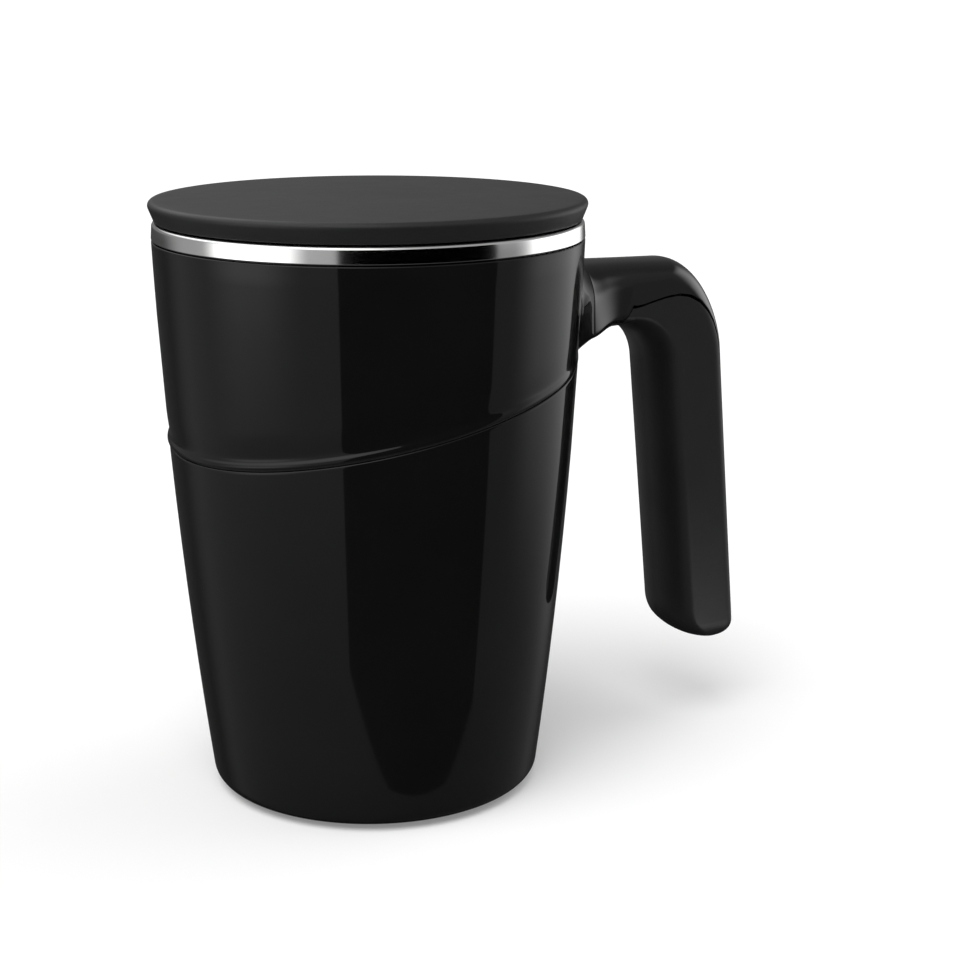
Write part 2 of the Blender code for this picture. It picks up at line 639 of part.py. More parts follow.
def section(inner, outer, half_width):
    """Points round one section of the handle, between an inner and an outer point."""
    across = outer - inner
    depth = across.length
    across.normalize()
    fit = min(1, depth / (CROWN_DEPTH + INNER_ROUND_DEPTH) * 0.98)
    crown, rounding = CROWN_DEPTH * fit, INNER_ROUND_DEPTH * fit
    crown_wide = half_width - CROWN_FLAT
    inner_wide = min(INNER_ROUND_WIDE, crown_wide)
    corners = ((depth - crown, crown, crown_wide, 1), (rounding, rounding, inner_wide, 1),
               (rounding, rounding, inner_wide, -1), (depth - crown, crown, crown_wide, -1))
    points = []
    for quarter, (middle, deep, wide, hand) in enumerate(corners):
        for i in range(5):
            turn = math.radians(90 * quarter + 90 * i / 4)
            spot = inner + across * (middle + deep * math.cos(turn))
            y = hand * (half_width - wide) + wide * math.sin(turn)
            points.append((spot.x, y, spot.z))
    return points


def crossing(start, along, other, other_along):
    """Where two lines in the XZ plane meet."""
    gap = other - start
    turn = along.x * other_along.z - along.z * other_along.x
    share = (gap.x * other_along.z - gap.z * other_along.x) / turn
    return start + along * share


def handle_line(through, rise, grip_x, lean, arm_part, grip_part, power):
    """One side outline of the handle: its arm's end, the points round the bend, its way down."""
    into = Vector((math.cos(rise), 0, math.sin(rise)))
    down = Vector((math.sin(lean), 0, -math.cos(lean)))
    corner = crossing(Vector((through[0], 0, through[1])), into, Vector((grip_x, 0, GRIP_LEVEL)), down)
    centre = corner - into * arm_part + down * grip_part
    bend = []
    for i in range(9):
        turn = math.pi / 2 * i / 8
        reach = into * (arm_part * math.sin(turn) ** power)
        bend.append(centre + reach - down * (grip_part * math.cos(turn) ** power))
    root = bend[0] + into * ((JOINT_X + GAP / 2 - bend[0].x) / into.x)
    return root, bend, down


def handle_stations(end_level, grip_steps):
    """Pairs of inner and outer points from the arm's joint to a level in the grip."""
    top = handle_line((JOINT_X, ARM_TOP), 0, GRIP_OUTER_X, GRIP_OUTER_LEAN,
                      BEND_OUTER_ARM, BEND_OUTER_GRIP, BEND_POWER)
    low = handle_line((ARM_UNDERSIDE_X, ARM_UNDERSIDE), ARM_UNDERSIDE_RISE, GRIP_INNER_X,
                      GRIP_INNER_LEAN, BEND_INNER, BEND_INNER, 1)
    sides = []
    for root, bend, down in (low, top):
        points = [root.lerp(bend[0], share) for share in ARM_STEP_SHARES] + bend
        end = bend[-1] + down * ((bend[-1].z - end_level) / -down.z)
        points += [bend[-1].lerp(end, (i + 1) / grip_steps) for i in range(grip_steps)]
        sides.append(points)
    return list(zip(*sides)), (low[2] + top[2]) / 2


def arm_half_width(x):
    """Half the handle's width, which flares towards the joint."""
    near = max(0, (FLARE_START_X - x) / (FLARE_START_X - JOINT_X))
    return HANDLE_WIDTH / 2 + FLARE_WIDE * near ** 2


def inset_by(rounding, left):
    """How far a rounded end has drawn in when so much of its length is left."""
    short = max(0, rounding - left)
    return rounding - math.sqrt(rounding ** 2 - short ** 2)


def handle_body(name, frame, finish=None):
    """The handle's whole outer form, before it is parted into cover and grip."""
    longest = max(END_INNER_ROUND, END_OUTER_ROUND, END_SIDE_ROUND)
    stations, down = handle_stations(GRIP_END + longest, 5)
    rings = [section(inner, outer, arm_half_width((inner.x + outer.x) / 2)) for inner, outer in stations]
    inner, outer = stations[-1]
    across = (outer - inner).normalized()
    for share in END_STEP_SHARES:
        left = longest * (1 - share)
        low = inner + down * (longest * share) + across * inset_by(END_INNER_ROUND, left)
        high = outer + down * (longest * share) - across * inset_by(END_OUTER_ROUND, left)
        rings.append(section(low, high, HANDLE_WIDTH / 2 - inset_by(END_SIDE_ROUND, left)))
    return loft(name, rings, frame, finish)


def parting(name, grow, frame):
    """A block over the gloss part of the handle, grown past the parting line by a little."""
    bend_z = PART_ARM_LEVEL - PART_BEND_DROP
    level = PART_ARM_LEVEL - grow

    def strip_x(height):
        outside = GRIP_OUTER_X + math.tan(GRIP_OUTER_LEAN) * (GRIP_LEVEL - height)
        return outside - STRIP_DEPTH - grow

    low = ARM_UNDERSIDE - PART_BEND_DROP
    far = GRIP_OUTER_X + PART_BEND_DROP
    near = JOINT_X - OVERRUN
    end = STRIP_END - grow
    outline = [(near, low), (PART_FOOT_X + grow, low), (PART_FOOT_X + grow, ARM_UNDERSIDE - GAP),
               (PART_ROOT_X + grow, level)]
    for i in range(9):
        turn = math.pi / 2 * i / 8
        outline.append((PART_BEND_X + (strip_x(bend_z) - PART_BEND_X) * math.sin(turn),
                        bend_z + (level - bend_z) * math.cos(turn)))
    outline += [(strip_x(end), end), (far, end), (far, ARM_TOP + PART_BEND_DROP),
                (near, ARM_TOP + PART_BEND_DROP)]
    return extruded(name, outline, HANDLE_WIDTH, frame)


def core_form(name, grow, frame, finish=None):
    """The handle's core, or with some growth the room for it."""
    stations, down = handle_stations(CORE_END - grow, 3)
    bend_start = len(ARM_STEP_SHARES)
    half = CORE_HALF_WIDTH + grow
    rings = []
    for i, (inner, outer) in enumerate(stations):
        share = min(1, max(0, i - bend_start + 2) / bend_start)
        across = (outer - inner).normalized()
        wall_low = CORE_ROOT_WALL_BOTTOM + (CORE_GRIP_WALL - CORE_ROOT_WALL_BOTTOM) * share - grow
        wall_top = CORE_ROOT_WALL_TOP + (CORE_GRIP_WALL - CORE_ROOT_WALL_TOP) * share - grow
        low, high = inner + across * wall_low, outer - across * wall_top
        if i == 0 and grow == 0:
            low, high = low + Vector((GAP / 2, 0, 0)), high + Vector((GAP / 2, 0, 0))
        flank_low, flank_high = low + across * CORE_CHAMFER, high - across * CORE_CHAMFER
        ring = []
        for hand in (1, -1):
            flat = hand * (half - CORE_CHAMFER)
            four = [(high, flat), (flank_high, hand * half), (flank_low, hand * half), (low, flat)]
            ring += [(spot.x, y, spot.z) for spot, y in (four if hand > 0 else four[::-1])]
        rings.append(ring)
    if grow > 0:
        rings.insert(0, [(x - OVERRUN, y, z) for x, y, z in rings[0]])
    return loft(name, rings, frame, finish)


def build_handle(cup, gloss, matte, frame_plastic, steel, upper):
    """Gloss arm with its strip, matte grip, the core inside both, and two screws."""
    room = core_form("core_room", GAP, cup)
    cover = handle_body("handle_cover", cup, gloss)
    cut(cover, parting("cover_block", 0, cup), "INTERSECT")
    cut(cover, room)
    grip = handle_body("handle_grip", cup, matte)
    cut(grip, parting("grip_block", GAP, cup))
    cut(grip, room)
    core = core_form("handle_core", 0, cup, frame_plastic)

    for i, drop in enumerate(HANDLE_SCREW_DROPS):
        height = ARM_TOP - drop
        wall = outer_radius(height) - SHELL_WALL
        head = wall - GAP - HANDLE_SCREW_HEAD_THICK
        tip = JOINT_X + HANDLE_SCREW_REACH
        screw = fastener(f"handle_screw_{i + 1}", (0, 0), head, HANDLE_SCREW_HEAD,
                         HANDLE_SCREW_HEAD_THICK, HANDLE_SCREW_SHANK, tip, steel, cup)
        screw.rotation_euler = (0, math.pi / 2, 0)
        screw.location = (0, 0, height)
        hole = cylinder(f"handle_hole_{i + 1}", HANDLE_SCREW_SHANK + GAP, (wall - OVERRUN, 0, height),
                        (tip + GAP, 0, height), cup)
        cut(upper, hole)
        cut(core, hole)


def neck(frame):
    """The flared neck that the upper shell holds out for the arm."""
    root_low = ARM_UNDERSIDE - math.tan(ARM_UNDERSIDE_RISE) * (ARM_UNDERSIDE_X - JOINT_X)
    wall_low = seam_level(BAND_RADIUS) + SEAM_WIDTH / 2 + NECK_CLEAR
    root_wide = arm_half_width(JOINT_X)
    rings = []
    for share in NECK_STEP_SHARES:
        flare = min(1, share * NECK_DEPTH / (JOINT_X - BAND_RADIUS)) ** 2
        spread = (share * NECK_DEPTH / (JOINT_X - BAND_RADIUS)) ** 2
        x = JOINT_X - GAP / 2 - NECK_DEPTH * share
        low = Vector((x, 0, root_low + (wall_low - root_low) * flare))
        high = Vector((x, 0, ARM_TOP + (NECK_TOP - ARM_TOP) * flare))
        rings.append(section(low, high, root_wide + (NECK_HALF_WIDTH - root_wide) * spread / 4))
    body = loft("neck", rings, frame)
    top, bottom = SHELL_HEIGHT + OVERRUN, SEAM_HEIGHT
    trim = [(0, top)] + side(top, bottom, LAP_WALL / 2, 6) + [(0, bottom)]
    cut(body, turned("neck_trim", trim, frame, ring=False))
    return body


def build():
    """Make every piece of the mug."""
    cup = make_frame("cup_frame", FOOT_STANDOFF)
    foot = make_frame("foot_frame", 0)
    lid = make_frame("lid_frame", FOOT_STANDOFF + RIM_HEIGHT)
    gloss = make_material("gloss_black", (0.006, 0.006, 0.006), 0.08)
    matte = make_material("matte_black", (0.016, 0.016, 0.017), 0.55)
    frame_plastic = make_material("frame_grey", (0.05, 0.05, 0.052), 0.5)
    rubber = make_material("black_silicone", (0.02, 0.02, 0.02), 0.7)
    steel = make_material("polished_steel", (0.6, 0.6, 0.6), 0.12, 1.0)
    upper, _ = build_shells(cup, gloss)
    build_seam_ring(cup, rubber)
    build_liner(cup, steel, rubber)
    build_base(cup, frame_plastic, steel)
    build_valve(cup, frame_plastic, rubber, steel)
    build_foot(foot, cup, rubber, frame_plastic, steel)
    build_lid(lid, matte, rubber)
    build_handle(cup, gloss, matte, frame_plastic, steel, upper)


clear_scene()
PIECES = make_collection("anti_spill_mug")
CUTTERS = make_collection("cutters")
build()
print("pieces:", sum(1 for thing in PIECES.objects if thing.type != "EMPTY"))
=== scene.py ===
# %% [markdown]
# # An anti-spill mug, dressed
# The CAD model gives every piece of the mug its real size and place. This lesson gives the
# pieces that show a fine surface and a finish, sets them in a small studio, and looks at them
# as the photograph does. All lengths are in metres, +Z is up and the handle points along +X.

# %% Load the frame
import json
import math
from functools import partial

import bpy
from mathutils import Matrix, Vector


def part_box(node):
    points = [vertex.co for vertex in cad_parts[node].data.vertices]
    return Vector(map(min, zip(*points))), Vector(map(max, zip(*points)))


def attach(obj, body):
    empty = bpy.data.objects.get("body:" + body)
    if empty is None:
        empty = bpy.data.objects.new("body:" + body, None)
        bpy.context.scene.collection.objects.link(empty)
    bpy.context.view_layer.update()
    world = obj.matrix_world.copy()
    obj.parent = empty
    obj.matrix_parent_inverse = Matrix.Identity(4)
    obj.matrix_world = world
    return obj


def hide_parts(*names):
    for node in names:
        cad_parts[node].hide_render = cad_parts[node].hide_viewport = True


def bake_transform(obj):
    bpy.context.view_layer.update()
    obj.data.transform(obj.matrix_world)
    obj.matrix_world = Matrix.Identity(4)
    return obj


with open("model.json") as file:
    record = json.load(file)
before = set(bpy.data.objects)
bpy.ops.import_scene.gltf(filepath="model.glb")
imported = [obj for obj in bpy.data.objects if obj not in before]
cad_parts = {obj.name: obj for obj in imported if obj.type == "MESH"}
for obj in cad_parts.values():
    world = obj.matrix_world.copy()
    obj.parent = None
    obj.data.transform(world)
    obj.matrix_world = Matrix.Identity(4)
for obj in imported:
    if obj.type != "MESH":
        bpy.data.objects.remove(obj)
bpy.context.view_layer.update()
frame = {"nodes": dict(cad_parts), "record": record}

# %% [markdown]
# ## The camera
# A product photograph is taken with a long lens, a little above the object. Three unit vectors
# say how the camera is turned: to its right, up, and the way it looks. They were found by
# fitting the mug's round edges.

# %% Camera
CAMERA_PLACE = Vector((-0.17652, -0.37855, 0.17343))
CAMERA_RIGHT = Vector((0.88137, -0.47241, 0.00111))
CAMERA_UP = Vector((0.11623, 0.21912, 0.96875))
CAMERA_AHEAD = Vector((0.45790, 0.85370, -0.24804))

scene = bpy.context.scene
lens = bpy.data.cameras.new("camera")
lens.sensor_width = 36
lens.lens = 74.26
lens.clip_start = 0.01
camera = bpy.data.objects.new("camera", lens)
scene.collection.objects.link(camera)
turn = Matrix((CAMERA_RIGHT, CAMERA_UP, -CAMERA_AHEAD)).transposed()
camera.matrix_world = Matrix.Translation(CAMERA_PLACE) @ turn.to_4x4()
scene.camera = camera
scene.view_settings.view_transform = "Standard"

# %% [markdown]
# ## Rings for turned pieces
# Shells, liner, lid and pad are turned shapes. One could draw a profile and spin it, but raising
# a circle ring by ring shows each step: extrude the ring, move it up, scale it to its new radius.
# A helper rounds the corners of a profile first, because no moulded edge is truly sharp.

# %% Modelling helpers
AXIS = 0.00001  # radius of a ring that closes on the axis
MERGE = 0.00003
SAME = 0.000001  # points of a grid this close are one


def pick(piece):
    """Select one piece alone, and make it the active one."""
    bpy.ops.object.select_all(action="DESELECT")
    piece.select_set(True)
    bpy.context.view_layer.objects.active = piece


def edit_all(piece):
    """Open a piece in edit mode with all of it selected."""
    pick(piece)
    bpy.ops.object.mode_set(mode="EDIT")
    bpy.ops.mesh.select_all(action="SELECT")


def weld(reach):
    """Merge points of the edited piece."""
    bpy.ops.mesh.select_all(action="SELECT")
    bpy.ops.mesh.remove_doubles(threshold=reach)


def face_outward():
    """Turn all faces of the edited piece outward, and leave edit mode."""
    bpy.ops.mesh.select_all(action="SELECT")
    bpy.ops.mesh.normals_make_consistent(inside=False)
    bpy.ops.object.mode_set(mode="OBJECT")


def modify(piece, kind, **settings):
    """Give the picked piece a modifier with these settings, and apply it."""
    modifier = piece.modifiers.new(kind.lower(), kind)
    for name, value in settings.items():
        setattr(modifier, name, value)
    bpy.ops.object.modifier_apply(modifier=modifier.name)


def smooth(piece, degrees=35):
    """Shade the faces smooth, but leave edges sharper than an angle as edges."""
    pick(piece)
    bpy.ops.object.shade_smooth_by_angle(angle=math.radians(degrees))


def rounded(corners, steps):
    """Turn (radius, height, rounding) corners into the points of a profile."""
    points = []
    for i, (x, z, size) in enumerate(corners):
        here = Vector((x, z))
        if size == 0:
            points.append(here)
            continue
        back = (Vector(corners[i - 1][:2]) - here).normalized()
        ahead = (Vector(corners[i + 1][:2]) - here).normalized()
        half = back.angle(ahead) / 2
        centre = here + (back + ahead).normalized() * size / math.sin(half)
        first = here + back * size / math.tan(half) - centre
        last = here + ahead * size / math.tan(half) - centre
        whole = math.pi - half * 2
        for k in range(steps + 1):
            share = k / steps
            bent = first * math.sin((1 - share) * whole) + last * math.sin(share * whole)
            points.append(centre + bent / math.sin(whole))
    return points


def turned(name, corners, corner_steps=6, steps=192):
    """Raise a circle ring by ring through a profile, and close its seams."""
    (radius, height), *others = rounded(corners, corner_steps)
    bpy.ops.mesh.primitive_circle_add(vertices=steps, radius=radius, location=(0, 0, height))
    piece = bpy.context.object
    piece.name = name
    bpy.ops.object.transform_apply(location=True)
    edit_all(piece)
    for wider, higher in others:
        lift = {"value": (0, 0, higher - height)}
        bpy.ops.mesh.extrude_region_move(TRANSFORM_OT_translate=lift)
        size = wider / radius
        bpy.ops.transform.resize(value=(size, size, 1), center_override=(0, 0, higher))
        radius, height = wider, higher
    weld(MERGE)
    face_outward()
    return piece


# %% [markdown]
# ## The side of the mug
# The side leans out from the base to the rim and bows a little. One function gives its radius
# at any height, so that shells, liner and gasket all follow the same line.

# %% The side's line
STANDOFF = 0.0008  # the shell's underside above the table
SHELL_HEIGHT = 0.11918
BASE_RADIUS = 0.03562
BAND_RADIUS = 0.0455
SIDE_BOW = 0.00582
SHELL_WALL = 0.002
RIM = STANDOFF + 0.12265
SHELL_TOP = STANDOFF + SHELL_HEIGHT


def side_radius(height):
    share = (height - STANDOFF) / SHELL_HEIGHT
    return BASE_RADIUS + (BAND_RADIUS - BASE_RADIUS) * share + SIDE_BOW * share * (1 - share)


def side(heights, inset=0.0):
    return [(side_radius(height) - inset, height, 0) for height in heights]


# %% [markdown]
# ## The tilted seam
# The outer shell is moulded in two parts that meet at a plane, which rises towards the handle.
# Bisect cuts a mesh with a plane, and Bridge Edge Loops closes the wall that it opened. No ring
# of the profile lies near the seam, so both cut loops have the same points and bridge cleanly.
# Offsets are heights above the seam's plane, where it crosses the axis.

# %% Seam helpers
SEAM_LEVEL = STANDOFF + 0.0853
SEAM_TILT = math.radians(11.66)
SEAM_NORMAL = Vector((-math.sin(SEAM_TILT), 0, math.cos(SEAM_TILT)))
LOOP_REACH = 0.00001  # a point this close to a plane lies on it


def cut_at_seam(piece, offset, keep_above):
    """Cut a turned shell along the seam, raised by an offset, and close its wall."""
    edit_all(piece)
    bpy.ops.mesh.bisect(plane_co=(0, 0, SEAM_LEVEL + offset), plane_no=SEAM_NORMAL,
                        clear_inner=keep_above, clear_outer=not keep_above)
    bpy.ops.mesh.select_all(action="DESELECT")
    bpy.ops.mesh.select_non_manifold()
    bpy.ops.mesh.bridge_edge_loops()
    face_outward()


def loops_at(piece, offsets):
    """Cut loops parallel to the seam, to shape the wall there or to hold it straight."""
    edit_all(piece)
    for offset in offsets:
        bpy.ops.mesh.select_all(action="SELECT")
        bpy.ops.mesh.bisect(plane_co=(0, 0, SEAM_LEVEL + offset), plane_no=SEAM_NORMAL)
    bpy.ops.object.mode_set(mode="OBJECT")


def outer_loop(piece, offset):
    """The edges round a shell's outer side that lie at an offset from the seam."""
    mesh = piece.data
    level = Vector((0, 0, SEAM_LEVEL + offset))

    def on_loop(point):
        outside = math.hypot(point.x, point.y) > side_radius(point.z) - SHELL_WALL / 2
        return outside and abs((point - level).dot(SEAM_NORMAL)) < LOOP_REACH

    return [edge for edge in mesh.edges
            if all(on_loop(mesh.vertices[i].co) for i in edge.vertices)]


def edit_only(piece, kind, chosen):
    """Open a piece in edit mode with only the chosen edges or faces selected."""
    mesh = piece.data
    for part in (mesh.vertices, mesh.polygons, mesh.edges):
        part.foreach_set("select", [False] * len(part))
    for item in chosen:
        item.select = True
    bpy.context.tool_settings.mesh_select_mode = (False, kind == "EDGE", kind == "FACE")
    pick(piece)
    bpy.ops.object.mode_set(mode="EDIT")


def leave_edit():
    bpy.ops.mesh.select_mode(type="VERT")
    bpy.ops.object.mode_set(mode="OBJECT")


# %% [markdown]
# ## Lower shell
# The lower shell is a cup with a wide hole in its floor for the foot. Its upper edge is cut
# sharp, with only a hair of rounding that catches the light as a thin line.

# %% Lower shell
FLOOR_OPENING = 0.0276
FLOOR_TOP = STANDOFF + 0.0026
BASE_ROUND = 0.0034
LOW_RING, HIGH_RING = 0.0745, 0.0985  # the rings nearest to the seam
UPPER_GAP, LOWER_GAP = 0.0003, 0.00075  # from the seam's plane down to each shell's edge
EDGE_ROUND = 0.00042
HOLDING_LOOPS = (-0.0014, -0.0030)  # they keep the wall straight below the edge
lower_outside = side([HIGH_RING, LOW_RING, 0.065, 0.055, 0.045, 0.036, 0.028, 0.021, 0.015, 0.010])
lower_floor = [(side_radius(STANDOFF), STANDOFF, BASE_ROUND), (FLOOR_OPENING, STANDOFF, 0.0004),
               (FLOOR_OPENING, FLOOR_TOP, 0.0003), (0.0316, FLOOR_TOP, 0.0018)]
lower_inside = side([0.012, 0.028, 0.045, LOW_RING, HIGH_RING], SHELL_WALL)
lower_shell = turned("lower_shell_fine", lower_outside + lower_floor + lower_inside, 10)
cut_at_seam(lower_shell, -LOWER_GAP, keep_above=False)
loops_at(lower_shell, HOLDING_LOOPS)
upper_edge = outer_loop(lower_shell, -LOWER_GAP)
edit_only(lower_shell, "EDGE", upper_edge)
bpy.ops.mesh.bevel(offset=EDGE_ROUND, segments=4, affect="EDGES", profile=0.5)
leave_edit()
smooth(lower_shell)
print("lower shell:", len(upper_edge), "edges rounded,", len(lower_shell.data.polygons), "faces")

# %% [markdown]
# ## Upper shell
# The upper shell ends in a rounded bead over the seam. Loops are cut round the shell above its
# edge, and each is scaled outward, from the topmost down, so that the side between two loops
# leans as the table says. The shell's top steps in under the steel rim.

# %% Upper shell
MM = 0.001
# mm above the seam's edge and degrees that the side leans back there, for each loop of the bead
BEAD = [(0.0, -32), (0.08, -26), (0.18, -18), (0.32, -8), (0.5, 4), (0.7, 14), (0.9, 22),
        (1.1, 27), (1.35, 27), (1.55, 22), (1.75, 14), (1.95, 6), (2.2, 0), (2.7, -3),
        (3.5, -3.5), (5.0, -3), (6.5, -1), (7.5, 0), (8.3, 0)]
BEAD_CENTRE = (0.03, 0, 0)  # off the axis, so that the bead grows shallow under the handle
BEAD_REACH = 0.065  # from there to the shell's side, front left
BEAD_RING = 0.1042  # the profile's first ring above the bead
TOP_EDGE = SHELL_TOP - 0.0003
SPIGOT_RADIUS = BAND_RADIUS - 0.001
SPIGOT_TOP = RIM - 0.0021
upper_outside = side([LOW_RING, BEAD_RING, 0.110, 0.115])
upper_top = [(side_radius(TOP_EDGE), TOP_EDGE, 0.0003), (SPIGOT_RADIUS, TOP_EDGE, 0),
             (SPIGOT_RADIUS, SPIGOT_TOP, 0.0002),
             (side_radius(SHELL_TOP) - SHELL_WALL, SPIGOT_TOP, 0.0002)]
upper_inside = side([0.112, HIGH_RING, LOW_RING], SHELL_WALL)
upper_shell = turned("upper_shell_fine", upper_outside + upper_top + upper_inside, 4)
cut_at_seam(upper_shell, -UPPER_GAP, keep_above=True)
loops_at(upper_shell, [above * MM - UPPER_GAP for above, lean in BEAD[1:]])
push = 0.0
for (above, lean), (next_above, next_lean) in reversed(list(zip(BEAD, BEAD[1:]))):
    push += (next_above - above) * MM * math.tan(math.radians((lean + next_lean) / 2))
    edit_only(upper_shell, "EDGE", outer_loop(upper_shell, above * MM - UPPER_GAP))
    size = 1 + push / BEAD_REACH
    bpy.ops.transform.resize(value=(size, size, 1), center_override=BEAD_CENTRE)
    leave_edit()
smooth(upper_shell)

# %% [markdown]
# ## Seam gasket
# A thin soft ring fills the seam a little below the surface, which is why the seam reads as a
# dark line. It is the same turned wall, cut by two planes.

# %% Seam gasket
GASKET_OUTSIDE, GASKET_INSIDE = 0.00035, 0.0019  # inward from the shell's side
GASKET_TOP, GASKET_FOOT = -0.00032, -0.00073
gasket_out = side([HIGH_RING, LOW_RING], GASKET_OUTSIDE)
gasket_in = side([LOW_RING, HIGH_RING], GASKET_INSIDE)
seam_gasket = turned("seam_gasket_fine", gasket_out + gasket_in + gasket_out[:1])
cut_at_seam(seam_gasket, GASKET_TOP, keep_above=False)
cut_at_seam(seam_gasket, GASKET_FOOT, keep_above=True)
smooth(seam_gasket)

# %% [markdown]
# ## Steel liner
# The liner is a drawn steel cup. At the top it turns out and down over the shell, and that
# turned band is the bright stripe under the lid. Inside and outside are one closed wall.

# %% Steel liner
LINER_WALL = 0.0007
AIR_SPACE = 0.0015
LINER_FLOOR = STANDOFF + 0.0189
LINER_UNDER = LINER_FLOOR - LINER_WALL
LINER_RINGS = [0.035, 0.055, 0.075, 0.095, 0.112]
out_inset = SHELL_WALL + AIR_SPACE
in_inset = out_inset + LINER_WALL
skirt_x = BAND_RADIUS - LINER_WALL
floor_x = side_radius(LINER_FLOOR)
rim_x = side_radius(RIM)
liner_corners = [(AXIS, LINER_FLOOR, 0), (floor_x - in_inset, LINER_FLOOR, 0.006)]
liner_corners += side(LINER_RINGS, in_inset)
liner_corners += [(rim_x - in_inset, RIM, 0.0007), (BAND_RADIUS - 0.00022, RIM, 0.0008),
                  (BAND_RADIUS, SHELL_TOP, 0.0002), (skirt_x, SHELL_TOP, 0.0002),
                  (skirt_x, RIM - LINER_WALL, 0.0003),
                  (rim_x - out_inset, RIM - LINER_WALL, 0.0004)]
liner_corners += side(LINER_RINGS[::-1], out_inset)
liner_corners += [(floor_x - out_inset, LINER_UNDER, 0.0067), (AXIS, LINER_UNDER, 0)]
steel_liner = turned("steel_liner_fine", liner_corners)
smooth(steel_liner)

# %% [markdown]
# ## Lid
# The lid is a flat cover whose side draws in towards the rim, with a hollow plug and a soft
# seal under it that show when the lid is lifted.

# %% Lid
LID_TOP = RIM + 0.0046
LID_FOOT = RIM + 0.0003
LID_RADIUS = 0.0463
LID_FOOT_RADIUS = 0.04484
LID_WALL = 0.0018
CLEARANCE = 0.0003
lid_under = LID_TOP - LID_WALL
lid_inside = LID_FOOT_RADIUS - LID_WALL
lid_corners = [(AXIS, LID_TOP, 0), (LID_RADIUS - 0.0042, LID_TOP, 0),
               (LID_RADIUS - 0.0022, LID_TOP - 0.00003, 0),
               (LID_RADIUS + 0.0002, LID_TOP - 0.0001, 0.0011),
               (LID_FOOT_RADIUS, LID_FOOT, 0.0003), (lid_inside, LID_FOOT, 0.0003),
               (lid_inside, lid_under, 0.0004), (AXIS, lid_under, 0)]
lid_cover = turned("lid_cover_fine", lid_corners)
smooth(lid_cover)

PLUG_WALL, PLUG_FLANGE = 0.0015, 0.0012
PLUG_LOW = RIM - 0.0095
SEAL_LEVEL = RIM - 0.0055
GROOVE_HALF, SEAL_HALF = 0.0013, 0.001  # up and down from the seal's level
plug_x = side_radius(PLUG_LOW) - in_inset - 0.0008
groove_x = plug_x - 0.0011
hollow_x = groove_x - PLUG_WALL
flange_x = lid_inside - CLEARANCE
plug_top = lid_under - CLEARANCE
flange_low = plug_top - PLUG_FLANGE
plug_corners = [(AXIS, PLUG_LOW + PLUG_WALL, 0), (hollow_x, PLUG_LOW + PLUG_WALL, 0.001),
                (hollow_x, plug_top, 0.0003), (flange_x, plug_top, 0.0003),
                (flange_x, flange_low, 0.0003), (plug_x, flange_low, 0.0004),
                (plug_x, SEAL_LEVEL + GROOVE_HALF, 0.0002),
                (groove_x, SEAL_LEVEL + GROOVE_HALF, 0.0002),
                (groove_x, SEAL_LEVEL - GROOVE_HALF, 0.0002),
                (plug_x, SEAL_LEVEL - GROOVE_HALF, 0.0002), (plug_x, PLUG_LOW, 0.0008),
                (AXIS, PLUG_LOW, 0)]
lid_plug = turned("lid_plug_fine", plug_corners)
smooth(lid_plug)

seal_low, seal_high = SEAL_LEVEL - SEAL_HALF, SEAL_LEVEL + SEAL_HALF
seal_in, seal_out = groove_x + CLEARANCE, side_radius(seal_low) - in_inset - CLEARANCE
seal_corners = [(seal_in, SEAL_LEVEL, 0), (seal_in, seal_high, 0.0003),
                (plug_x, seal_high, 0.0003), (seal_out, SEAL_LEVEL, 0.0004),
                (plug_x, seal_low, 0.0003), (seal_in, seal_low, 0.0003), (seal_in, SEAL_LEVEL, 0)]
lid_seal = turned("lid_seal_fine", seal_corners)
smooth(lid_seal)

# %% [markdown]
# ## The handle's side outline
# Seen from the side the handle is a hook: an arm that meets the neck, a bend, and a grip that
# hangs free. Each side of it is a straight arm, a flattened quarter bend and a straight grip.
# Stations join a point on the inner outline to one on the outer outline, all the way round.

# %% Handle outline
JOINT_X = 0.0492
GRIP_LEVEL = STANDOFF + 0.1
ARM_TOP = STANDOFF + 0.1107
ARM_UNDERSIDE = STANDOFF + 0.0955
GRIP_END = STANDOFF + 0.01814
STRIP_END = STANDOFF + 0.0235
INTO_ROOT = 0.0003 / 2


def crossing(start, along, other, other_along):
    """Where two lines in the XZ plane meet."""
    gap = other - start
    turn = along.x * other_along.y - along.y * other_along.x
    return start + along * ((gap.x * other_along.y - gap.y * other_along.x) / turn)


def hook_line(through, rise, grip_x, lean, arm_part, grip_part, power=1):
    """A function that follows one side outline: 0 to 1 is the arm, 1 to 2 the bend, 2 the grip."""
    rise, lean = math.radians(rise), math.radians(lean)
    into = Vector((math.cos(rise), math.sin(rise)))
    down = Vector((math.sin(lean), -math.cos(lean)))
    corner = crossing(Vector(through), into, Vector((grip_x, GRIP_LEVEL)), down)
    bend_start = corner - into * arm_part
    centre = bend_start + down * grip_part
    root = bend_start + into * ((JOINT_X + INTO_ROOT - bend_start.x) / into.x)

    def follow(place):
        if place <= 1:
            return root.lerp(bend_start, place)
        turn = math.pi / 2 * (place - 1)
        reach = into * (arm_part * math.sin(turn) ** power)
        return centre + reach - down * (grip_part * math.cos(turn) ** power)

    return follow, down


outer_line, outer_down = hook_line((JOINT_X, ARM_TOP), rise=-1.8, grip_x=0.0861, lean=4.84,
                                   arm_part=0.0124, grip_part=0.0197, power=1.07)
inner_line, inner_down = hook_line((0.058, ARM_UNDERSIDE), rise=6.6, grip_x=0.0676, lean=5.6,
                                   arm_part=0.0098, grip_part=0.0107)

# %% [markdown]
# ## Sections of the handle
# Across each station lies a section: a rounded inner face, straight flanks and an arched outer
# face. Only half of it is made, because Mirror gives the other half. The parting line splits the
# section, and a narrow gap is left there between gloss and matte.

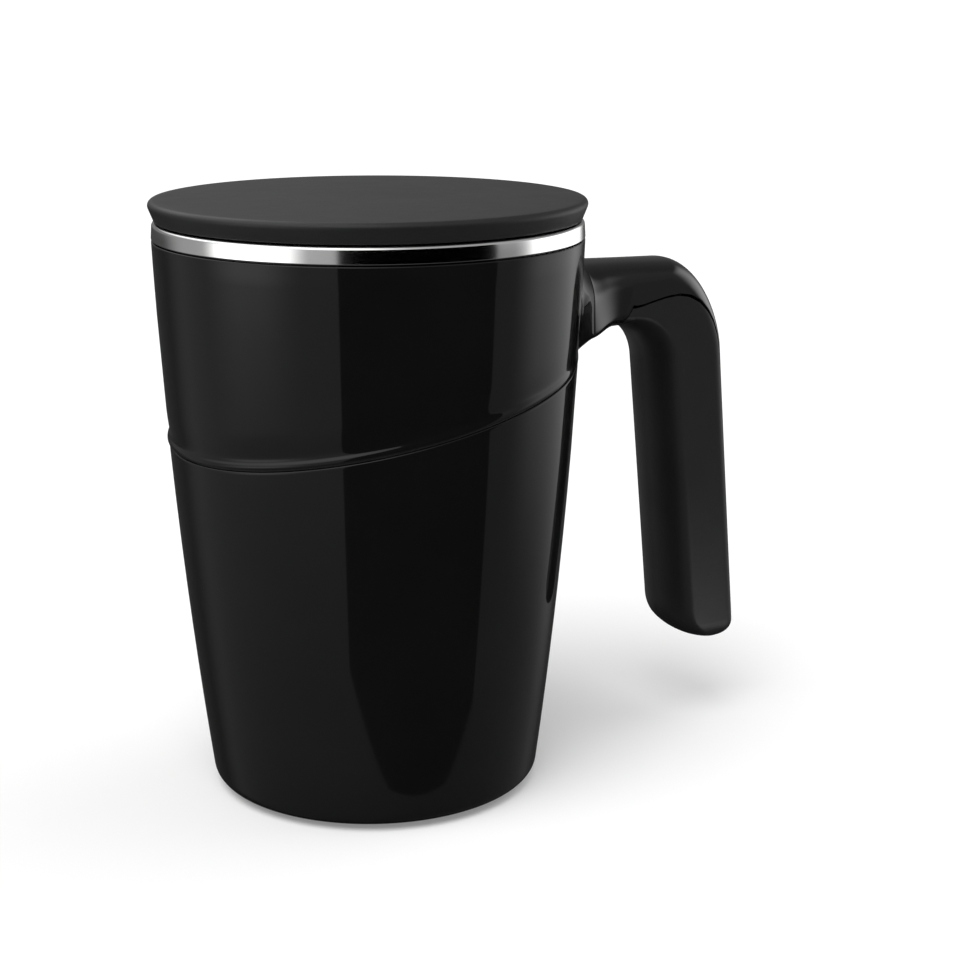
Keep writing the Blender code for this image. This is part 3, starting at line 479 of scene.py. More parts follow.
# %% Handle sections
PARTING = [(0.0570, 0.1009), (0.0590, 0.1008), (0.0606, 0.1005), (0.0623, 0.1007),
           (0.0656, 0.1015), (0.0689, 0.1022), (0.0721, 0.1025), (0.0752, 0.1020),
           (0.0780, 0.1005), (0.0803, 0.0983), (0.0821, 0.0957), (0.0834, 0.0925),
           (0.0843, 0.0885), (0.0851, 0.0840), (0.0857, 0.0790)]  # above the shell's underside
STRIP_X = 0.0858  # the gloss strip's outside at GRIP_LEVEL
STRIP_LEAN = math.radians(5.1)
STRIP_DEPTH = 0.0022
STRIP_LEVELS = [0.075 - 0.005 * i for i in range(13)]
CREVICE = 0.0008  # gap between gloss and matte
FLAT_STEPS, CORNER_STEPS, CROWN_STEPS = 6, 40, 60
LOWER_SPAN, UPPER_SPAN = 40, 26

parting = [Vector((x, z + STANDOFF)) for x, z in PARTING]
for level in STRIP_LEVELS:
    outside = STRIP_X + math.tan(STRIP_LEAN) * (GRIP_LEVEL - level)
    parting.append(Vector((outside - STRIP_DEPTH, level)))


def parting_depth(inner, outer):
    """How far along a station the parting line crosses it, or None."""
    across = outer - inner
    for start, end in zip(parting, parting[1:]):
        along = end - start
        turn = across.x * along.y - across.y * along.x
        if turn == 0:
            continue
        gap = start - inner
        share = (gap.x * along.y - gap.y * along.x) / turn
        place = (gap.x * across.y - gap.y * across.x) / turn
        if -0.001 <= place <= 1.001 and 0 < share < 1:
            return share * across.length
    return None


def half_section(depth, half_width, crown, corner, corner_wide):
    """Points (depth, half width) from the middle of the inner face to that of the outer face."""
    fit = min(1, depth / (crown + corner) * 0.98)
    crown, corner = crown * fit, corner * fit
    corner_wide = min(corner_wide, half_width - 0.0001)
    points = [(0, (half_width - corner_wide) * i / FLAT_STEPS) for i in range(FLAT_STEPS)]
    for i in range(CORNER_STEPS + 1):
        turn = math.pi / 2 * i / CORNER_STEPS
        wide = half_width - corner_wide * (1 - math.sin(turn))
        points.append((corner * (1 - math.cos(turn)), wide))
    for i in range(CROWN_STEPS + 1):
        turn = math.pi / 2 * i / CROWN_STEPS
        points.append((depth - crown * (1 - math.sin(turn)), half_width * math.cos(turn)))
    return points


def sample(points, start, end, count):
    """Even steps along a line of points, between two lengths of it."""
    result = []
    run, i = 0.0, 0
    step = math.dist(points[0], points[1])
    for k in range(count + 1):
        goal = start + (end - start) * k / count
        while run + step < goal and i < len(points) - 2:
            run += step
            i += 1
            step = math.dist(points[i], points[i + 1])
        share = (goal - run) / step if step else 0
        a, b = points[i], points[i + 1]
        result.append((a[0] + (b[0] - a[0]) * share, a[1] + (b[1] - a[1]) * share))
    return result


def length_at(points, depth):
    """Length along a half section at which it reaches a depth, or all of it."""
    run = 0.0
    for a, b in zip(points, points[1:]):
        step = math.dist(a, b)
        if b[0] >= depth > a[0]:
            return run + step * (depth - a[0]) / (b[0] - a[0])
        run += step
    return run


# %% [markdown]
# ## Stations
# The stations lie closer in the bend and at the rounded end. Two pairs of them stand only a
# crevice apart: where the matte grip begins under the arm, and where the gloss strip ends.

# %% Handle stations
HALF_WIDTH = 0.01
ARM_LENGTH = 0.0092  # on the underside
ARM_STEPS, ROOT_STEPS, BEND_STEPS, GRIP_STEPS, END_STEPS = 16, 5, 40, 36, 14
ARM_LEAN = 2.0  # above 1 the arm's stations stand upright near the joint
ROOT_SHARE = 0.836  # where the grip begins on the arm's underside
ROOT_CREVICE = 0.00012
FLARE_END = 0.062  # the arm widens like a trumpet from here back to the joint
FLARE, FLARE_POWER = 0.004, 2.5
END_ROUNDS = (0.00888, 0.00414, 0.00506)  # inner face, outer face and flanks


def end_inset(size, left):
    short = max(0.0, size - left)
    return size - math.sqrt(max(0.0, size * size - short * short))


def nearness(x):
    """0 where the flare starts, 1 at the joint."""
    return max(0.0, (FLARE_END - x) / (FLARE_END - JOINT_X))


def hook_stations():
    """(inner point, outer point, half width, zone) for each station; zones change at crevices."""
    half_gap = ROOT_CREVICE / 2 / ARM_LENGTH
    grip_start = ROOT_SHARE + half_gap
    arm = [ROOT_SHARE * i / ARM_STEPS for i in range(ARM_STEPS)] + [ROOT_SHARE - half_gap]
    arm += [grip_start + (1 - grip_start) * i / ROOT_STEPS for i in range(ROOT_STEPS + 1)]
    places = [(p, p ** ARM_LEAN, 0 if p < ROOT_SHARE else 1) for p in arm]
    places += [(1 + i / BEND_STEPS, 1 + i / BEND_STEPS, 1) for i in range(1, BEND_STEPS + 1)]
    result = []
    for low, high, zone in places:
        inner, outer = inner_line(low), outer_line(high)
        near = nearness((inner.x + outer.x) / 2)
        result.append((inner, outer, HALF_WIDTH + FLARE * near ** FLARE_POWER, zone))
    longest = END_ROUNDS[0]
    strip_left = STRIP_END - GRIP_END
    base_in, base_out = inner_line(2), outer_line(2)
    over = [base.y - GRIP_END - longest for base in (base_in, base_out)]
    lefts = []
    for i in range(1, GRIP_STEPS + 1):
        lefts.append([longest + length * (1 - i / GRIP_STEPS) for length in over])
    ends = [longest * (1 - math.sin(math.pi / 2 * i / END_STEPS)) for i in range(1, END_STEPS + 1)]
    ends += [strip_left + CREVICE / 2, strip_left - CREVICE / 2]
    lefts += [(left, left) for left in sorted(ends, reverse=True)]
    for left_in, left_out in lefts:
        inner = base_in + inner_down * ((base_in.y - GRIP_END - left_in) / -inner_down.y)
        outer = base_out + outer_down * ((base_out.y - GRIP_END - left_out) / -outer_down.y)
        across = (outer - inner).normalized()
        inner = inner + across * end_inset(END_ROUNDS[0], left_in)
        outer = outer - across * end_inset(END_ROUNDS[1], left_out)
        zone = 1 if left_in > strip_left else 2
        result.append((inner, outer, HALF_WIDTH - end_inset(END_ROUNDS[2], left_in), zone))
    return result


stations = hook_stations()
first_inner, first_outer = next(station[:2] for station in stations if station[3] == 1)
ROOT_DEPTH = parting_depth(first_inner, first_outer) / (first_outer - first_inner).length

# %% [markdown]
# ## The whole handle as one half
# A grid primitive has just the rows and columns that the stations and sections need. Each of
# its points moves to its place, and the faces are then sorted: gloss above the parting, matte
# below it, and the narrow rows and columns of the crevice are deleted.

# %% Handle grid
COLUMNS = LOWER_SPAN + UPPER_SPAN + 2
CAP_SIZES = (0.75, 0.5, 0.25, 0.0)  # rows that close the grip's end
# sizes along the handle, and how they change towards the joint and in the bend
CORNER, CORNER_AT_JOINT, CORNER_SPREAD = 0.0042, -0.0024, 2.2
CROWN, CROWN_AT_JOINT, CROWN_IN_BEND = 0.00456, 0.0035, 0.0014
HANDLE_WALL, WALL_EDGE = 0.0012, 0.00015
MIRROR_MERGE = 0.00002


def station_points(station):
    """All points of one station's half section, with the crevice at the parting."""
    inner, outer, half_width, zone = station
    across = outer - inner
    depth = across.length
    across = across.normalized()
    near = nearness((inner.x + outer.x) / 2)
    corner = CORNER + CORNER_AT_JOINT * near ** 2
    crown = CROWN + CROWN_AT_JOINT * near ** 2 + CROWN_IN_BEND * 2 * abs(across.x * across.y)
    outline = half_section(depth, half_width, crown, corner, corner * CORNER_SPREAD)
    split = parting_depth(inner, outer) if zone == 1 else None
    if split is None:
        split = depth * ROOT_DEPTH if zone == 0 else depth - STRIP_DEPTH
    at = length_at(outline, split)
    low = sample(outline, 0, at - CREVICE / 2, LOWER_SPAN)
    high = sample(outline, at + CREVICE / 2, length_at(outline, math.inf), UPPER_SPAN)
    places = []
    for along, wide in low + high:
        spot = inner + across * along
        sag = (JOINT_X - math.sqrt(JOINT_X ** 2 - wide ** 2)) * nearness(spot.x) ** 2
        places.append(Vector((spot.x - sag, wide, spot.y)))
    return places


def half_handle(name, keep):
    """A grid whose faces are kept where keep(their rows' zones, column) says so."""
    rows = len(stations) + len(CAP_SIZES)
    bpy.ops.mesh.primitive_grid_add(x_subdivisions=COLUMNS - 1, y_subdivisions=rows - 1)
    piece = bpy.context.object
    piece.name = name
    mesh = piece.data
    table = [station_points(station) for station in stations]
    last = table[-1]
    middle = Vector((sum(p.x for p in last) / COLUMNS, 0, sum(p.z for p in last) / COLUMNS))
    table += [[middle + (p - middle) * size for p in last] for size in CAP_SIZES]
    zones = [station[3] for station in stations] + [2] * len(CAP_SIZES)
    for i, vertex in enumerate(mesh.vertices):
        vertex.co = table[i // COLUMNS][i % COLUMNS]
    spare = []
    for face in mesh.polygons:
        row_zones = {zones[i // COLUMNS] for i in face.vertices}
        if not keep(row_zones, min(i % COLUMNS for i in face.vertices)):
            spare.append(face)
    edit_only(piece, "FACE", spare)
    bpy.ops.mesh.delete(type="FACE")
    weld(SAME)
    leave_edit()
    return piece


def is_gloss(zones, column):
    return zones == {0} or zones in ({0, 1}, {1}) and column > LOWER_SPAN


def is_matte(zones, column):
    return zones == {2} or zones in ({1}, {1, 2}) and column < LOWER_SPAN


def close_handle(piece):
    """Mirror the half, give it a wall and round the edges of the wall."""
    pick(piece)
    modify(piece, "MIRROR", use_axis=(False, True, False), merge_threshold=MIRROR_MERGE)
    edit_all(piece)
    face_outward()
    modify(piece, "SOLIDIFY", thickness=HANDLE_WALL, offset=-1)
    modify(piece, "BEVEL", width=WALL_EDGE, segments=2, limit_method="ANGLE",
           angle_limit=math.radians(60), use_clamp_overlap=True)
    smooth(piece, 40)


handle_cover = half_handle("handle_cover_fine", is_gloss)
close_handle(handle_cover)
handle_grip = half_handle("handle_grip_fine", is_matte)
close_handle(handle_grip)

# %% [markdown]
# ## The neck
# The arm butts on a neck that flares into the upper shell like a trumpet. A grid has the right
# rows: after three that close its end, the next lie on curves from the joint to the shell's
# side, which leave the joint straight and land flat on the side.

# %% Neck
NECK_ROWS = 28
NECK_MIDDLE = STANDOFF + 0.1030
NECK_WIDEN = 1.46  # how much wider than the arm the neck lands on the shell
NECK_RISE, NECK_DROP = 1.3, 1.15  # and how much taller, above and below its middle
NECK_BLEND = 0.016  # height over which its curves change from the low to the high kind
LAND, LAND_HIGH = 0.02, 0.4  # how flat a curve lands on the side, low down and added higher up
PULL, PULL_HIGH = 0.12, 0.2  # how long it stays straight at the joint, in the same way
NECK_SUNK = 0.00003  # how far it ends inside the shell's side
NECK_CAPS = (0.3, 0.985)  # sizes of the rings that close its end at the joint
NECK_EDGE = 0.3  # the end's edge, as a share of the curves' first step


def whole(half):
    """A closed outline from a half one."""
    return half + [Vector((p.x, -p.y, p.z)) for p in half[-2:0:-1]] + half[:1]


def neck_path(start, onward):
    """Points from the joint to the shell's side for one point of the joint's outline."""
    out_y = start.y * NECK_WIDEN
    above = start.z - NECK_MIDDLE
    out_z = NECK_MIDDLE + above * (NECK_RISE if above > 0 else NECK_DROP)
    reach_x = math.sqrt(side_radius(out_z) ** 2 - out_y ** 2)
    seam_z = SEAM_LEVEL + math.tan(SEAM_TILT) * reach_x
    out_z = max(out_z, seam_z - UPPER_GAP)
    radius = side_radius(out_z) - NECK_SUNK
    end = Vector((math.sqrt(radius ** 2 - out_y ** 2), out_y, out_z))
    normal = Vector((end.x, end.y, 0)).normalized()
    away = end - Vector((end.x, 0, NECK_MIDDLE))
    away = (away - normal * away.dot(normal)).normalized()
    upward = min(1, max(0, 0.5 + above / NECK_BLEND))
    land = away * max(0, (end - start).dot(away)) * (LAND + LAND_HIGH * upward)
    pull = (start - onward).normalized() * (end - start).length * (PULL + PULL_HIGH * upward)
    path = []
    for i in range(NECK_ROWS + 1):
        t = i / NECK_ROWS
        s = 1 - t
        path.append(start * s ** 3 + (start + pull) * 3 * s * s * t
                    + (end - land) * 3 * s * t * t + end * t ** 3)
    return path


outline = whole(station_points(stations[0]))
onward = whole(station_points(stations[1]))
paths = [neck_path(*ends) for ends in zip(outline, onward)]
NECK_POINTS = len(outline)
centre = sum(outline[:-1], Vector()) / (NECK_POINTS - 1)
back = Vector((-CREVICE, 0, 0))
bpy.ops.mesh.primitive_grid_add(x_subdivisions=NECK_POINTS - 1, y_subdivisions=NECK_ROWS + 2)
neck = bpy.context.object
neck.name = "neck"
for i, vertex in enumerate(neck.data.vertices):
    row, column = divmod(i, NECK_POINTS)
    if row < 2:
        vertex.co = centre.lerp(outline[column], NECK_CAPS[row]) + back
    elif row == 2:
        vertex.co = outline[column].lerp(paths[column][1], NECK_EDGE) + back
    else:
        vertex.co = paths[column][row - 2]
edit_all(neck)
weld(SAME)
bpy.ops.mesh.fill_holes(sides=0)
face_outward()
smooth(neck, 60)

# %% [markdown]
# ## Suction pad and valve
# The underside shows when the mug is picked up: a soft pad with a shallow suction ring, and the
# tip of the air valve level with it in the middle.

# %% Pad and valve
PAD_RADIUS, PAD_HOLE = 0.0255, 0.003
PAD_TOP, PAD_INNER_TOP = 0.0034, 0.0022
pad_corners = [(PAD_HOLE, 0.0012, 0), (PAD_HOLE, 0, 0.0003), (0.007, 0, 0.0003),
               (0.0075, 0.0005, 0.0003), (0.01325, 0.0005, 0.0002), (0.019, 0, 0.0004),
               (0.025, 0, 0.0003), (PAD_RADIUS, 0.001, 0.0003), (PAD_RADIUS, PAD_TOP, 0.0003),
               (0.0245, PAD_TOP, 0.0003), (0.0245, PAD_INNER_TOP, 0.0002),
               (PAD_HOLE, PAD_INNER_TOP, 0.0002), (PAD_HOLE, 0.0012, 0)]
suction_pad = turned("suction_pad_fine", pad_corners, steps=144)
smooth(suction_pad)
STEM, SEAT, COLLAR, SHANK = 0.0027, 0.0052, 0.004, 0.0022  # radii, from the tip up
valve_corners = [(AXIS, 0.0002, 0), (0.0011, 0.0002, 0.0001), (0.0013, 0, 0.0001),
                 (STEM, 0, 0.00025), (STEM, 0.0034, 0), (SEAT, 0.0034, 0.0001),
                 (SEAT, 0.0042, 0.0001), (COLLAR, 0.0042, 0), (COLLAR, 0.0049, 0.0001),
                 (SHANK, 0.0049, 0), (SHANK, 0.0102, 0.0003), (AXIS, 0.0102, 0)]
valve_plug = turned("valve_plug_fine", valve_corners, steps=96)
smooth(valve_plug)

# %% [markdown]
# ## Return springs
# Three short coil springs on the base plate lift the foot. A spring is a small circle that the
# Screw modifier winds upwards, and its ends are filled. The wire is finer than the CAD's, so
# that the turns have room when the foot drops and its screws press the springs together.

# %% Return springs
SPRING_NODES = ["return_spring_1", "return_spring_2", "return_spring_3"]
SPRING_TURNS, TURN_STEPS = 4, 24
SPRING_WIRE, WIRE_STEPS = 0.00024, 10


def coil_spring(node):
    """A coil spring in the box of its CAD node."""
    low, high = (Vector(corner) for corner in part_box(node))
    middle = (low + high) / 2
    coil = (high.x - low.x) / 2 - SPRING_WIRE
    rise = (high.z - low.z - SPRING_WIRE * 2) / SPRING_TURNS
    bpy.ops.mesh.primitive_circle_add(vertices=WIRE_STEPS, radius=SPRING_WIRE,
                                      location=(coil, 0, SPRING_WIRE),
                                      rotation=(math.radians(90), 0, 0))
    piece = bpy.context.object
    piece.name = node + "_fine"
    bpy.ops.object.transform_apply(location=True, rotation=True)
    modify(piece, "SCREW", iterations=SPRING_TURNS, steps=TURN_STEPS, render_steps=TURN_STEPS,
           screw_offset=rise)
    edit_all(piece)
    bpy.ops.mesh.fill_holes(sides=0)
    bpy.ops.mesh.select_all(action="SELECT")
    bpy.ops.transform.translate(value=(middle.x, middle.y, low.z))
    face_outward()
    smooth(piece)
    return piece


springs = [coil_spring(node) for node in SPRING_NODES]

# %% [markdown]
# ## Shared effects
# Every shader here is built with one helper, which adds a node and sets or links its inputs.
# Two effects serve more than one finish, so each is a node group: a fine moulded grain, which
# gives a height for a bump, and a faint cloudiness, which varies gloss and colour over a few
# centimetres as handling does.

# %% Node helpers and groups


def set_inputs(tree, node, inputs):
    """Give each of these inputs its value, or a link from a socket."""
    for name, value in inputs.items():
        if isinstance(value, bpy.types.NodeSocket):
            tree.links.new(value, node.inputs[name])
        else:
            node.inputs[name].default_value = value


def add_node(tree, kind, inputs=None, **settings):
    node = tree.nodes.new("ShaderNode" + kind)
    for name, value in settings.items():
        setattr(node, name, value)
    set_inputs(tree, node, inputs or {})
    return node


def maths(tree, operation, first, second=0.0):
    return add_node(tree, "Math", {0: first, 1: second}, operation=operation).outputs[0]


def fade(tree, value, start, end):
    """1 below start, 0 above end, and a smooth step between."""
    limits = {"Value": value, "From Min": start, "From Max": end, "To Min": 1.0, "To Max": 0.0}
    return add_node(tree, "MapRange", limits, interpolation_type="SMOOTHSTEP").outputs["Result"]


def bump(tree, height, distance, strength=1.0):
    inputs = {"Strength": strength, "Distance": distance, "Height": height}
    return add_node(tree, "Bump", inputs).outputs["Normal"]


def noise_in(tree, scale, detail, rough=0.5):
    inputs = {"Vector": add_node(tree, "TexCoord").outputs["Object"], "Scale": scale,
              "Detail": detail, "Roughness": rough}
    return add_node(tree, "TexNoise", inputs).outputs["Fac"]


def group_with(name, inputs, output):
    """A node group, its input sockets, and the socket that its result goes to."""
    tree = bpy.data.node_groups.new(name, "ShaderNodeTree")
    for label, value in inputs.items():
        socket = tree.interface.new_socket(label, in_out="INPUT", socket_type="NodeSocketFloat")
        socket.default_value = value
    tree.interface.new_socket(output, in_out="OUTPUT", socket_type="NodeSocketFloat")
    given = tree.nodes.new("NodeGroupInput").outputs
    return tree, given, tree.nodes.new("NodeGroupOutput").inputs[output]


def make_grain():
    """Moulded grain: two sizes of fine bumps."""
    tree, given, result = group_with("moulded_grain", {"Scale": 2500}, "Height")
    fine = noise_in(tree, given["Scale"], 2.0)
    coarse = noise_in(tree, maths(tree, "MULTIPLY", given["Scale"], 0.37), 1.0)
    tree.links.new(maths(tree, "ADD", fine, coarse), result)
    return tree


def make_cloud():
    """Handling marks: a slow variation between a low and a high value."""
    inputs = {"Scale": 40, "Low": 0.0, "High": 1.0}
    tree, given, result = group_with("handling_cloud", inputs, "Value")
    noise = noise_in(tree, given["Scale"], 4.0, 0.6)
    limits = {"Value": noise, "From Min": 0.3, "From Max": 0.7, "To Min": given["Low"],
              "To Max": given["High"]}
    tree.links.new(add_node(tree, "MapRange", limits).outputs["Result"], result)
    return tree


GRAIN = make_grain()
CLOUD = make_cloud()

# %% [markdown]
# ## Finishes
# Every finish is a Principled shader. Colour and roughness come from the cloud group with
# narrow limits, so that the surface never reads as one flat value, and the grain group feeds a
# Bump node where the plastic is textured.

# %% Finishes
GRAIN_SCALE = 2500.0
GLOSS_CLOUD = 1.7  # the roughness varies on a finer scale than the colour


def new_material(name):
    material = bpy.data.materials.new(name)
    material.use_nodes = True
    return material, material.node_tree


def cloud_in(tree, scale, low=0.0, high=1.0):
    inputs = {"Scale": scale, "Low": low, "High": high}
    return add_node(tree, "Group", inputs, node_tree=CLOUD).outputs["Value"]


def finish(name, dark, light, rough_low, rough_high, scale=40.0, metallic=0.0, grain=0.0,
           ior=1.42):
    """A finish between two colours and two roughnesses, with an optional grain."""
    material, tree = new_material(name)
    tint = {"A": (*dark, 1), "B": (*light, 1), "Factor": cloud_in(tree, scale)}
    look = {"Base Color": add_node(tree, "Mix", tint, data_type="RGBA").outputs["Result"],
            "Roughness": cloud_in(tree, scale * GLOSS_CLOUD, rough_low, rough_high),
            "Metallic": metallic, "IOR": ior}
    if grain:
        texture = add_node(tree, "Group", {"Scale": GRAIN_SCALE}, node_tree=GRAIN)
        look["Normal"] = bump(tree, texture.outputs["Height"], grain)
    set_inputs(tree, tree.nodes["Principled BSDF"], look)
    return material


gloss_black = finish("gloss_black", (0.0046,) * 3, (0.0058,) * 3, 0.04, 0.07)
soft_black = finish("soft_black", (0.0092,) * 3, (0.0124,) * 3, 0.40, 0.48, grain=0.00002, ior=1.36)
lid_black = finish("lid_black", (0.0125,) * 3, (0.0150,) * 3, 0.36, 0.44, grain=0.00002)
inner_grey = finish("inner_grey", (0.042, 0.042, 0.043), (0.055, 0.055, 0.057), 0.4, 0.55,
                    grain=0.00001)
silicone = finish("silicone", (0.014,) * 3, (0.02,) * 3, 0.6, 0.75, grain=0.00001)
screw_steel = finish("screw_steel", (0.42, 0.42, 0.41), (0.55, 0.55, 0.54), 0.25, 0.4, 200.0, 1.0)

# %% [markdown]
# ## Polished steel
# The liner is polished while it spins, so its fine lines run round it. A noise that is squeezed
# along Z and stretched along X and Y gives such lines, as a very small bump.

# %% Polished steel
LINE_SCALE = (20, 20, 9000)
LINE_DEPTH = 0.000004
steel = finish("polished_steel", (0.88, 0.88, 0.875), (0.94, 0.94, 0.935), 0.11, 0.15, 30.0, 1.0)
tree = steel.node_tree
place = add_node(tree, "TexCoord").outputs["Object"]
squeezed = add_node(tree, "Mapping", {"Vector": place, "Scale": LINE_SCALE}).outputs["Vector"]
lines = add_node(tree, "TexNoise", {"Vector": squeezed, "Scale": 1.0, "Detail": 3.0})
dent = bump(tree, lines.outputs["Fac"], LINE_DEPTH, 0.35)
set_inputs(tree, tree.nodes["Principled BSDF"], {"Normal": dent})

# %% [markdown]
# ## Dress the pieces
# Each new piece rides on the body that it belongs to, and stands for its CAD node. The nodes
# that stay hidden inside keep their CAD shape and get the finish of their material slot. The
# springs stay where they are made, on no body.

# %% Dress


def paint(piece, material):
    piece.data.materials.clear()
    piece.data.materials.append(material)


def dress(piece, material, slot, body, *nodes):
    paint(piece, material)
    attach(piece, body)
    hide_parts(*nodes)


dress(lower_shell, gloss_black, "gloss_shell", "cup", "lower_shell")
dress(upper_shell, gloss_black, "gloss_shell", "cup", "upper_shell")
dress(neck, gloss_black, "gloss_shell", "cup", "upper_shell")
dress(seam_gasket, silicone, "silicone", "cup", "seam_gasket")
dress(steel_liner, steel, "polished_steel", "cup", "steel_liner")
dress(handle_cover, gloss_black, "gloss_shell", "cup", "handle_cover")
dress(handle_grip, soft_black, "soft_matte", "cup", "handle_grip")
dress(lid_cover, lid_black, "soft_matte", "lid", "lid_cover")
dress(lid_plug, inner_grey, "inner_plastic", "lid", "lid_plug")
dress(lid_seal, silicone, "silicone", "lid", "lid_seal")
dress(suction_pad, silicone, "silicone", "foot", "suction_pad")
dress(valve_plug, inner_grey, "inner_plastic", "cup", "valve_plug")

for piece, node in zip(springs, SPRING_NODES):
    paint(piece, screw_steel)
    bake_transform(piece)
    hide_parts(node)

SLOT_FINISH = {"gloss_shell": gloss_black, "soft_matte": soft_black, "inner_plastic": inner_grey,
               "silicone": silicone, "polished_steel": steel, "screw_steel": screw_steel}
for entry in frame["record"]["subparts"]:
    paint(frame["nodes"][entry["node"]], SLOT_FINISH[entry["material_slot"]])

# %% [markdown]
# ## Floor
# The floor is pale and matt, and the camera sees a little light of its own in it, so that it
# ends up white beside the mug and keeps the mug's soft shadow. It is clear from below, so that
# the foot can be looked at.

# %% Floor
FLOOR_GLOW = 0.20
bpy.ops.mesh.primitive_plane_add(size=30, location=(0, 0, -0.0001))
floor = bpy.context.object
floor.name = "floor"
floor_paint, tree = new_material("floor_paint")
shader = tree.nodes["Principled BSDF"]
glow = maths(tree, "MULTIPLY", add_node(tree, "LightPath").outputs["Is Camera Ray"], FLOOR_GLOW)
set_inputs(tree, shader, {"Base Color": (0.8, 0.8, 0.8, 1), "Roughness": 1.0,
                          "Specular IOR Level": 0.0, "Emission Color": (1, 1, 1, 1),
                          "Emission Strength": glow})
below = add_node(tree, "NewGeometry").outputs["Backfacing"]
clear = add_node(tree, "BsdfTransparent").outputs[0]
one_sided = add_node(tree, "MixShader", {0: below, 1: shader.outputs[0], 2: clear}).outputs[0]
set_inputs(tree, tree.nodes["Material Output"], {"Surface": one_sided})
paint(floor, floor_paint)
floor.visible_glossy = False

# %% [markdown]
# ## Studio
# A glossy black side shows nothing but the studio round it, so the studio is drawn in the
# world's shader: pale walls that darken downwards, darker behind, and soft boxes on the left,
# on the right, high on the left and behind. Below the horizon the same walls and boxes show
# again, as a polished table would show them. The camera itself sees plain white.

# %% Studio
WALL_LEVEL, LEFT_LIFT, RIGHT_LIFT, BACK_DROP = 0.21, 0.13, 0.12, 0.08
BELOW_SHARE, BELOW_RISE = 0.35, 0.75  # of the walls' level, straight below and added upwards
BACK_SHADE = 0.75  # share that the wall behind loses below the horizon
MATT_LEVEL = 0.44  # the even light that matt surfaces get
world = bpy.data.worlds.new("studio")
scene.world = world
world.use_nodes = True
world.cycles.sampling_method = "NONE"
sky = world.node_tree
sky.nodes.clear()
times, plus, minus = (partial(maths, sky, kind) for kind in ("MULTIPLY", "ADD", "SUBTRACT"))


def up_from(low, high):
    """0 below one height in the sky, 1 above another."""
    return minus(1.0, fade(sky, sky_z, low, high))


def soft_box(degrees, half_wide, soft_wide, low=88, high=90):
    """A soft glow round an angle from -Y towards +X, fading out between two heights."""
    turn = math.radians(degrees)
    ahead = minus(times(sky_x, math.sin(turn)), times(sky_y, math.cos(turn)))
    aside = plus(times(sky_x, math.cos(turn)), times(sky_y, math.sin(turn)))
    angle = maths(sky, "ABSOLUTE", maths(sky, "ARCTAN2", aside, ahead))
    near, far = math.radians(half_wide - soft_wide), math.radians(half_wide + soft_wide)
    bottom, top = math.sin(math.radians(low)), math.sin(math.radians(high))
    return times(fade(sky, angle, near, far), fade(sky, steepness, bottom, top))


direction = add_node(sky, "TexCoord").outputs["Generated"]
sky_x, sky_y, sky_z = add_node(sky, "SeparateXYZ", {0: direction}).outputs
steepness = maths(sky, "ABSOLUTE", sky_z)
sink = plus(BELOW_SHARE, times(fade(sky, times(sky_z, -1.0), 0.1, 0.8), BELOW_RISE))
walls = times(plus(WALL_LEVEL, times(soft_box(-70, 65, 50, 60, 80), LEFT_LIFT)), sink)
walls = plus(walls, times(times(up_from(-0.1, 0.2), soft_box(35, 55, 30)), RIGHT_LIFT))
walls = minus(walls, times(times(up_from(-0.1, 0.2), soft_box(152, 50, 25)), BACK_DROP))
away = times(soft_box(165, 45, 12), fade(sky, sky_z, -0.1, 0.1))
walls = times(walls, minus(1.0, times(away, BACK_SHADE)))
left_box = soft_box(-90, 18, 14, 5, 22)
right_box = soft_box(94, 28, 12, 5, 26)
high_box = times(soft_box(-105, 88, 30, 89, 90), up_from(0.2, 0.5))
back_box = times(soft_box(182, 20, 8, 58, 68), up_from(0.4, 0.62))
seen = walls
for box, strength in ((left_box, 0.76), (right_box, 0.76), (back_box, 0.42), (high_box, 1.1)):
    seen = plus(seen, times(box, strength))


def background(colour, strength=1.0):
    return add_node(sky, "Background", {"Color": colour, "Strength": strength}).outputs[0]


def mixed(factor, first, second):
    return add_node(sky, "MixShader", {0: factor, 1: first, 2: second}).outputs[0]


WHITE = (1, 1, 1, 1)
ray = add_node(sky, "LightPath").outputs
mirror = maths(sky, "MAXIMUM", ray["Is Glossy Ray"], ray["Is Transmission Ray"])
room = background(add_node(sky, "CombineColor", {0: seen, 1: seen, 2: seen}).outputs[0])
inside = mixed(mirror, background(WHITE, MATT_LEVEL), room)
shown = mixed(ray["Is Camera Ray"], inside, background(WHITE))
add_node(sky, "OutputWorld", {"Surface": shown})

# %% [markdown]
# ## Cards
# The tall dark shape in the mug's side is the mirror image of a black card in front. Only
# reflections see a card. Light linking lets the front card stand as a pale wall for the handle,
# which in the photograph shows no card. The other cards are see-through with soft edges, and
# each adds its light to one piece only: the steel, the gloss cover or the matte grip.

# %% Cards


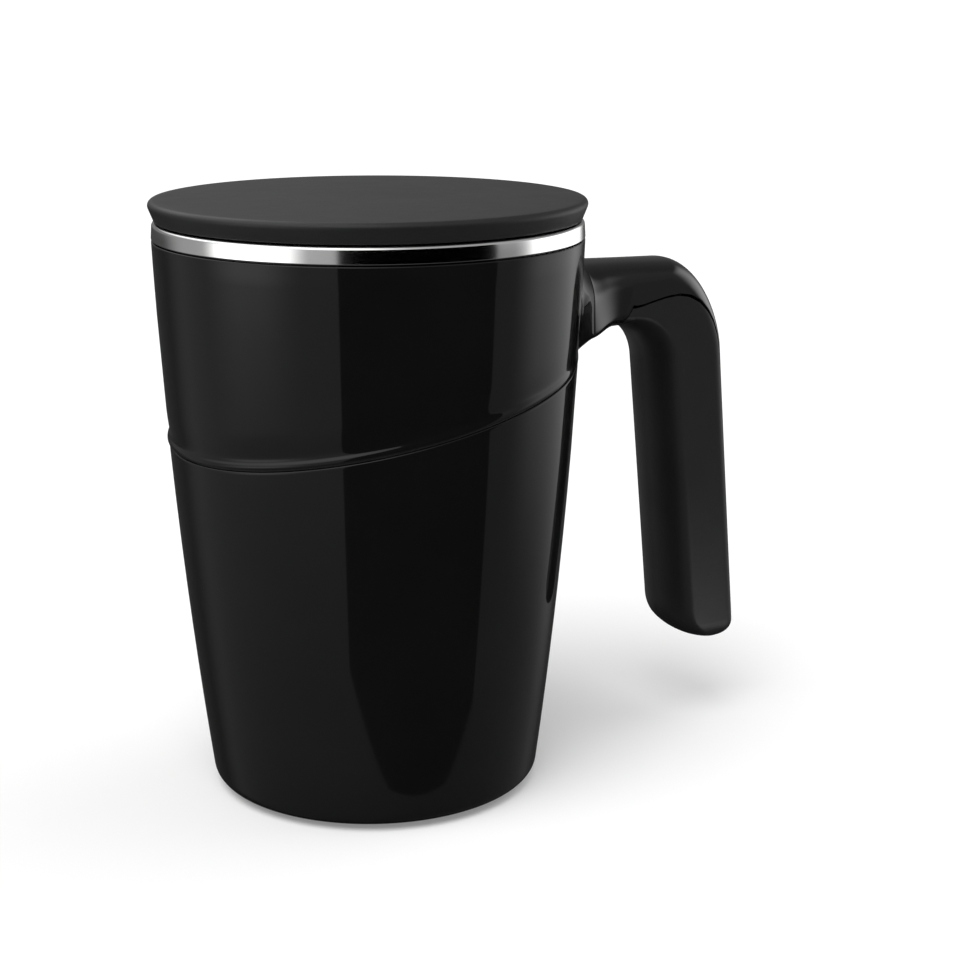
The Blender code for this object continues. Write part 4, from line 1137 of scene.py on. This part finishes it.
def card(name, degrees, away, roll, low, high, half_wide, strength, soft, *lit):
    """A card facing the mug that lights some pieces only; a soft one is see-through."""
    bpy.ops.mesh.primitive_plane_add(size=2)
    panel = bpy.context.object
    panel.name = name
    turn = math.radians(degrees)
    panel.scale = (half_wide, (high - low) / 2, 1)
    panel.rotation_euler = (math.radians(90), math.radians(roll), turn)
    panel.location = (away * math.sin(turn), -away * math.cos(turn), (high + low) / 2)
    panel.visible_camera = panel.visible_diffuse = panel.visible_shadow = False
    glowing, tree = new_material(name + "_paint")
    tree.nodes.clear()
    if soft:
        place = add_node(tree, "TexCoord").outputs["Object"]
        parts = add_node(tree, "SeparateXYZ", {0: place}).outputs
        for axis, share in zip("XY", soft):
            edge = fade(tree, maths(tree, "ABSOLUTE", parts[axis]), 1.0 - share, 1.0)
            strength = maths(tree, "MULTIPLY", strength, edge)
    shown = add_node(tree, "Emission", {"Strength": strength}).outputs[0]
    if soft:
        clear = add_node(tree, "BsdfTransparent").outputs[0]
        shown = add_node(tree, "AddShader", {0: shown, 1: clear}).outputs[0]
    add_node(tree, "OutputMaterial", {"Surface": shown})
    paint(panel, glowing)
    receivers = bpy.data.collections.new("lit_by_" + name)
    for piece in lit:
        receivers.objects.link(piece)
    panel.light_linking.receiver_collection = receivers


card("dark_card", 1, 1.2, 0, -0.92, 0.66, 1.08, 0.3, None, handle_cover, handle_grip, neck)
card("left_card", -87, 1.0, 0, -0.3, 0.5, 0.62, 0.8, (0.5, 0.5), steel_liner)
card("right_card", 95, 1.0, 0, -0.3, 0.5, 0.7, 0.6, (0.4, 0.5), steel_liner)
card("handle_card", 88, 0.3, 24, -0.02, 0.4, 0.17, 1.7, (0.95, 0.7), handle_cover)
card("grip_back_card", 172, 0.225, 0, -0.12, 0.07, 0.12, 0.22, (0.4, 0.5), handle_grip)
card("grip_card", 50, 0.16, 0, -0.09, 0.014, 0.09, 1.9, (0.7, 0.5), handle_grip)

# %% [markdown]
# ## Lamps
# Two wide suns give the soft shadows: the main one from the front left, and a weaker one from
# the right. A sun lights the whole floor alike, so the floor stays white to the horizon.

# %% Lamps


def soft_sun(name, degrees, height, spread, strength):
    """A sun with a wide disc, at an angle from -Y towards +X and a height above the floor."""
    data = bpy.data.lights.new(name, "SUN")
    data.energy = strength
    data.angle = math.radians(spread)
    lamp = bpy.data.objects.new(name, data)
    turn, rise = math.radians(degrees), math.radians(height)
    flat = math.cos(rise)
    away = Vector((math.sin(turn) * flat, -math.cos(turn) * flat, math.sin(rise)))
    lamp.location = away
    lamp.rotation_euler = (-away).to_track_quat("-Z", "Y").to_euler()
    lamp.visible_glossy = False
    scene.collection.objects.link(lamp)


soft_sun("front_left_sun", -57, 60, 45, 2.05)
soft_sun("right_sun", 85, 52, 50, 0.60)
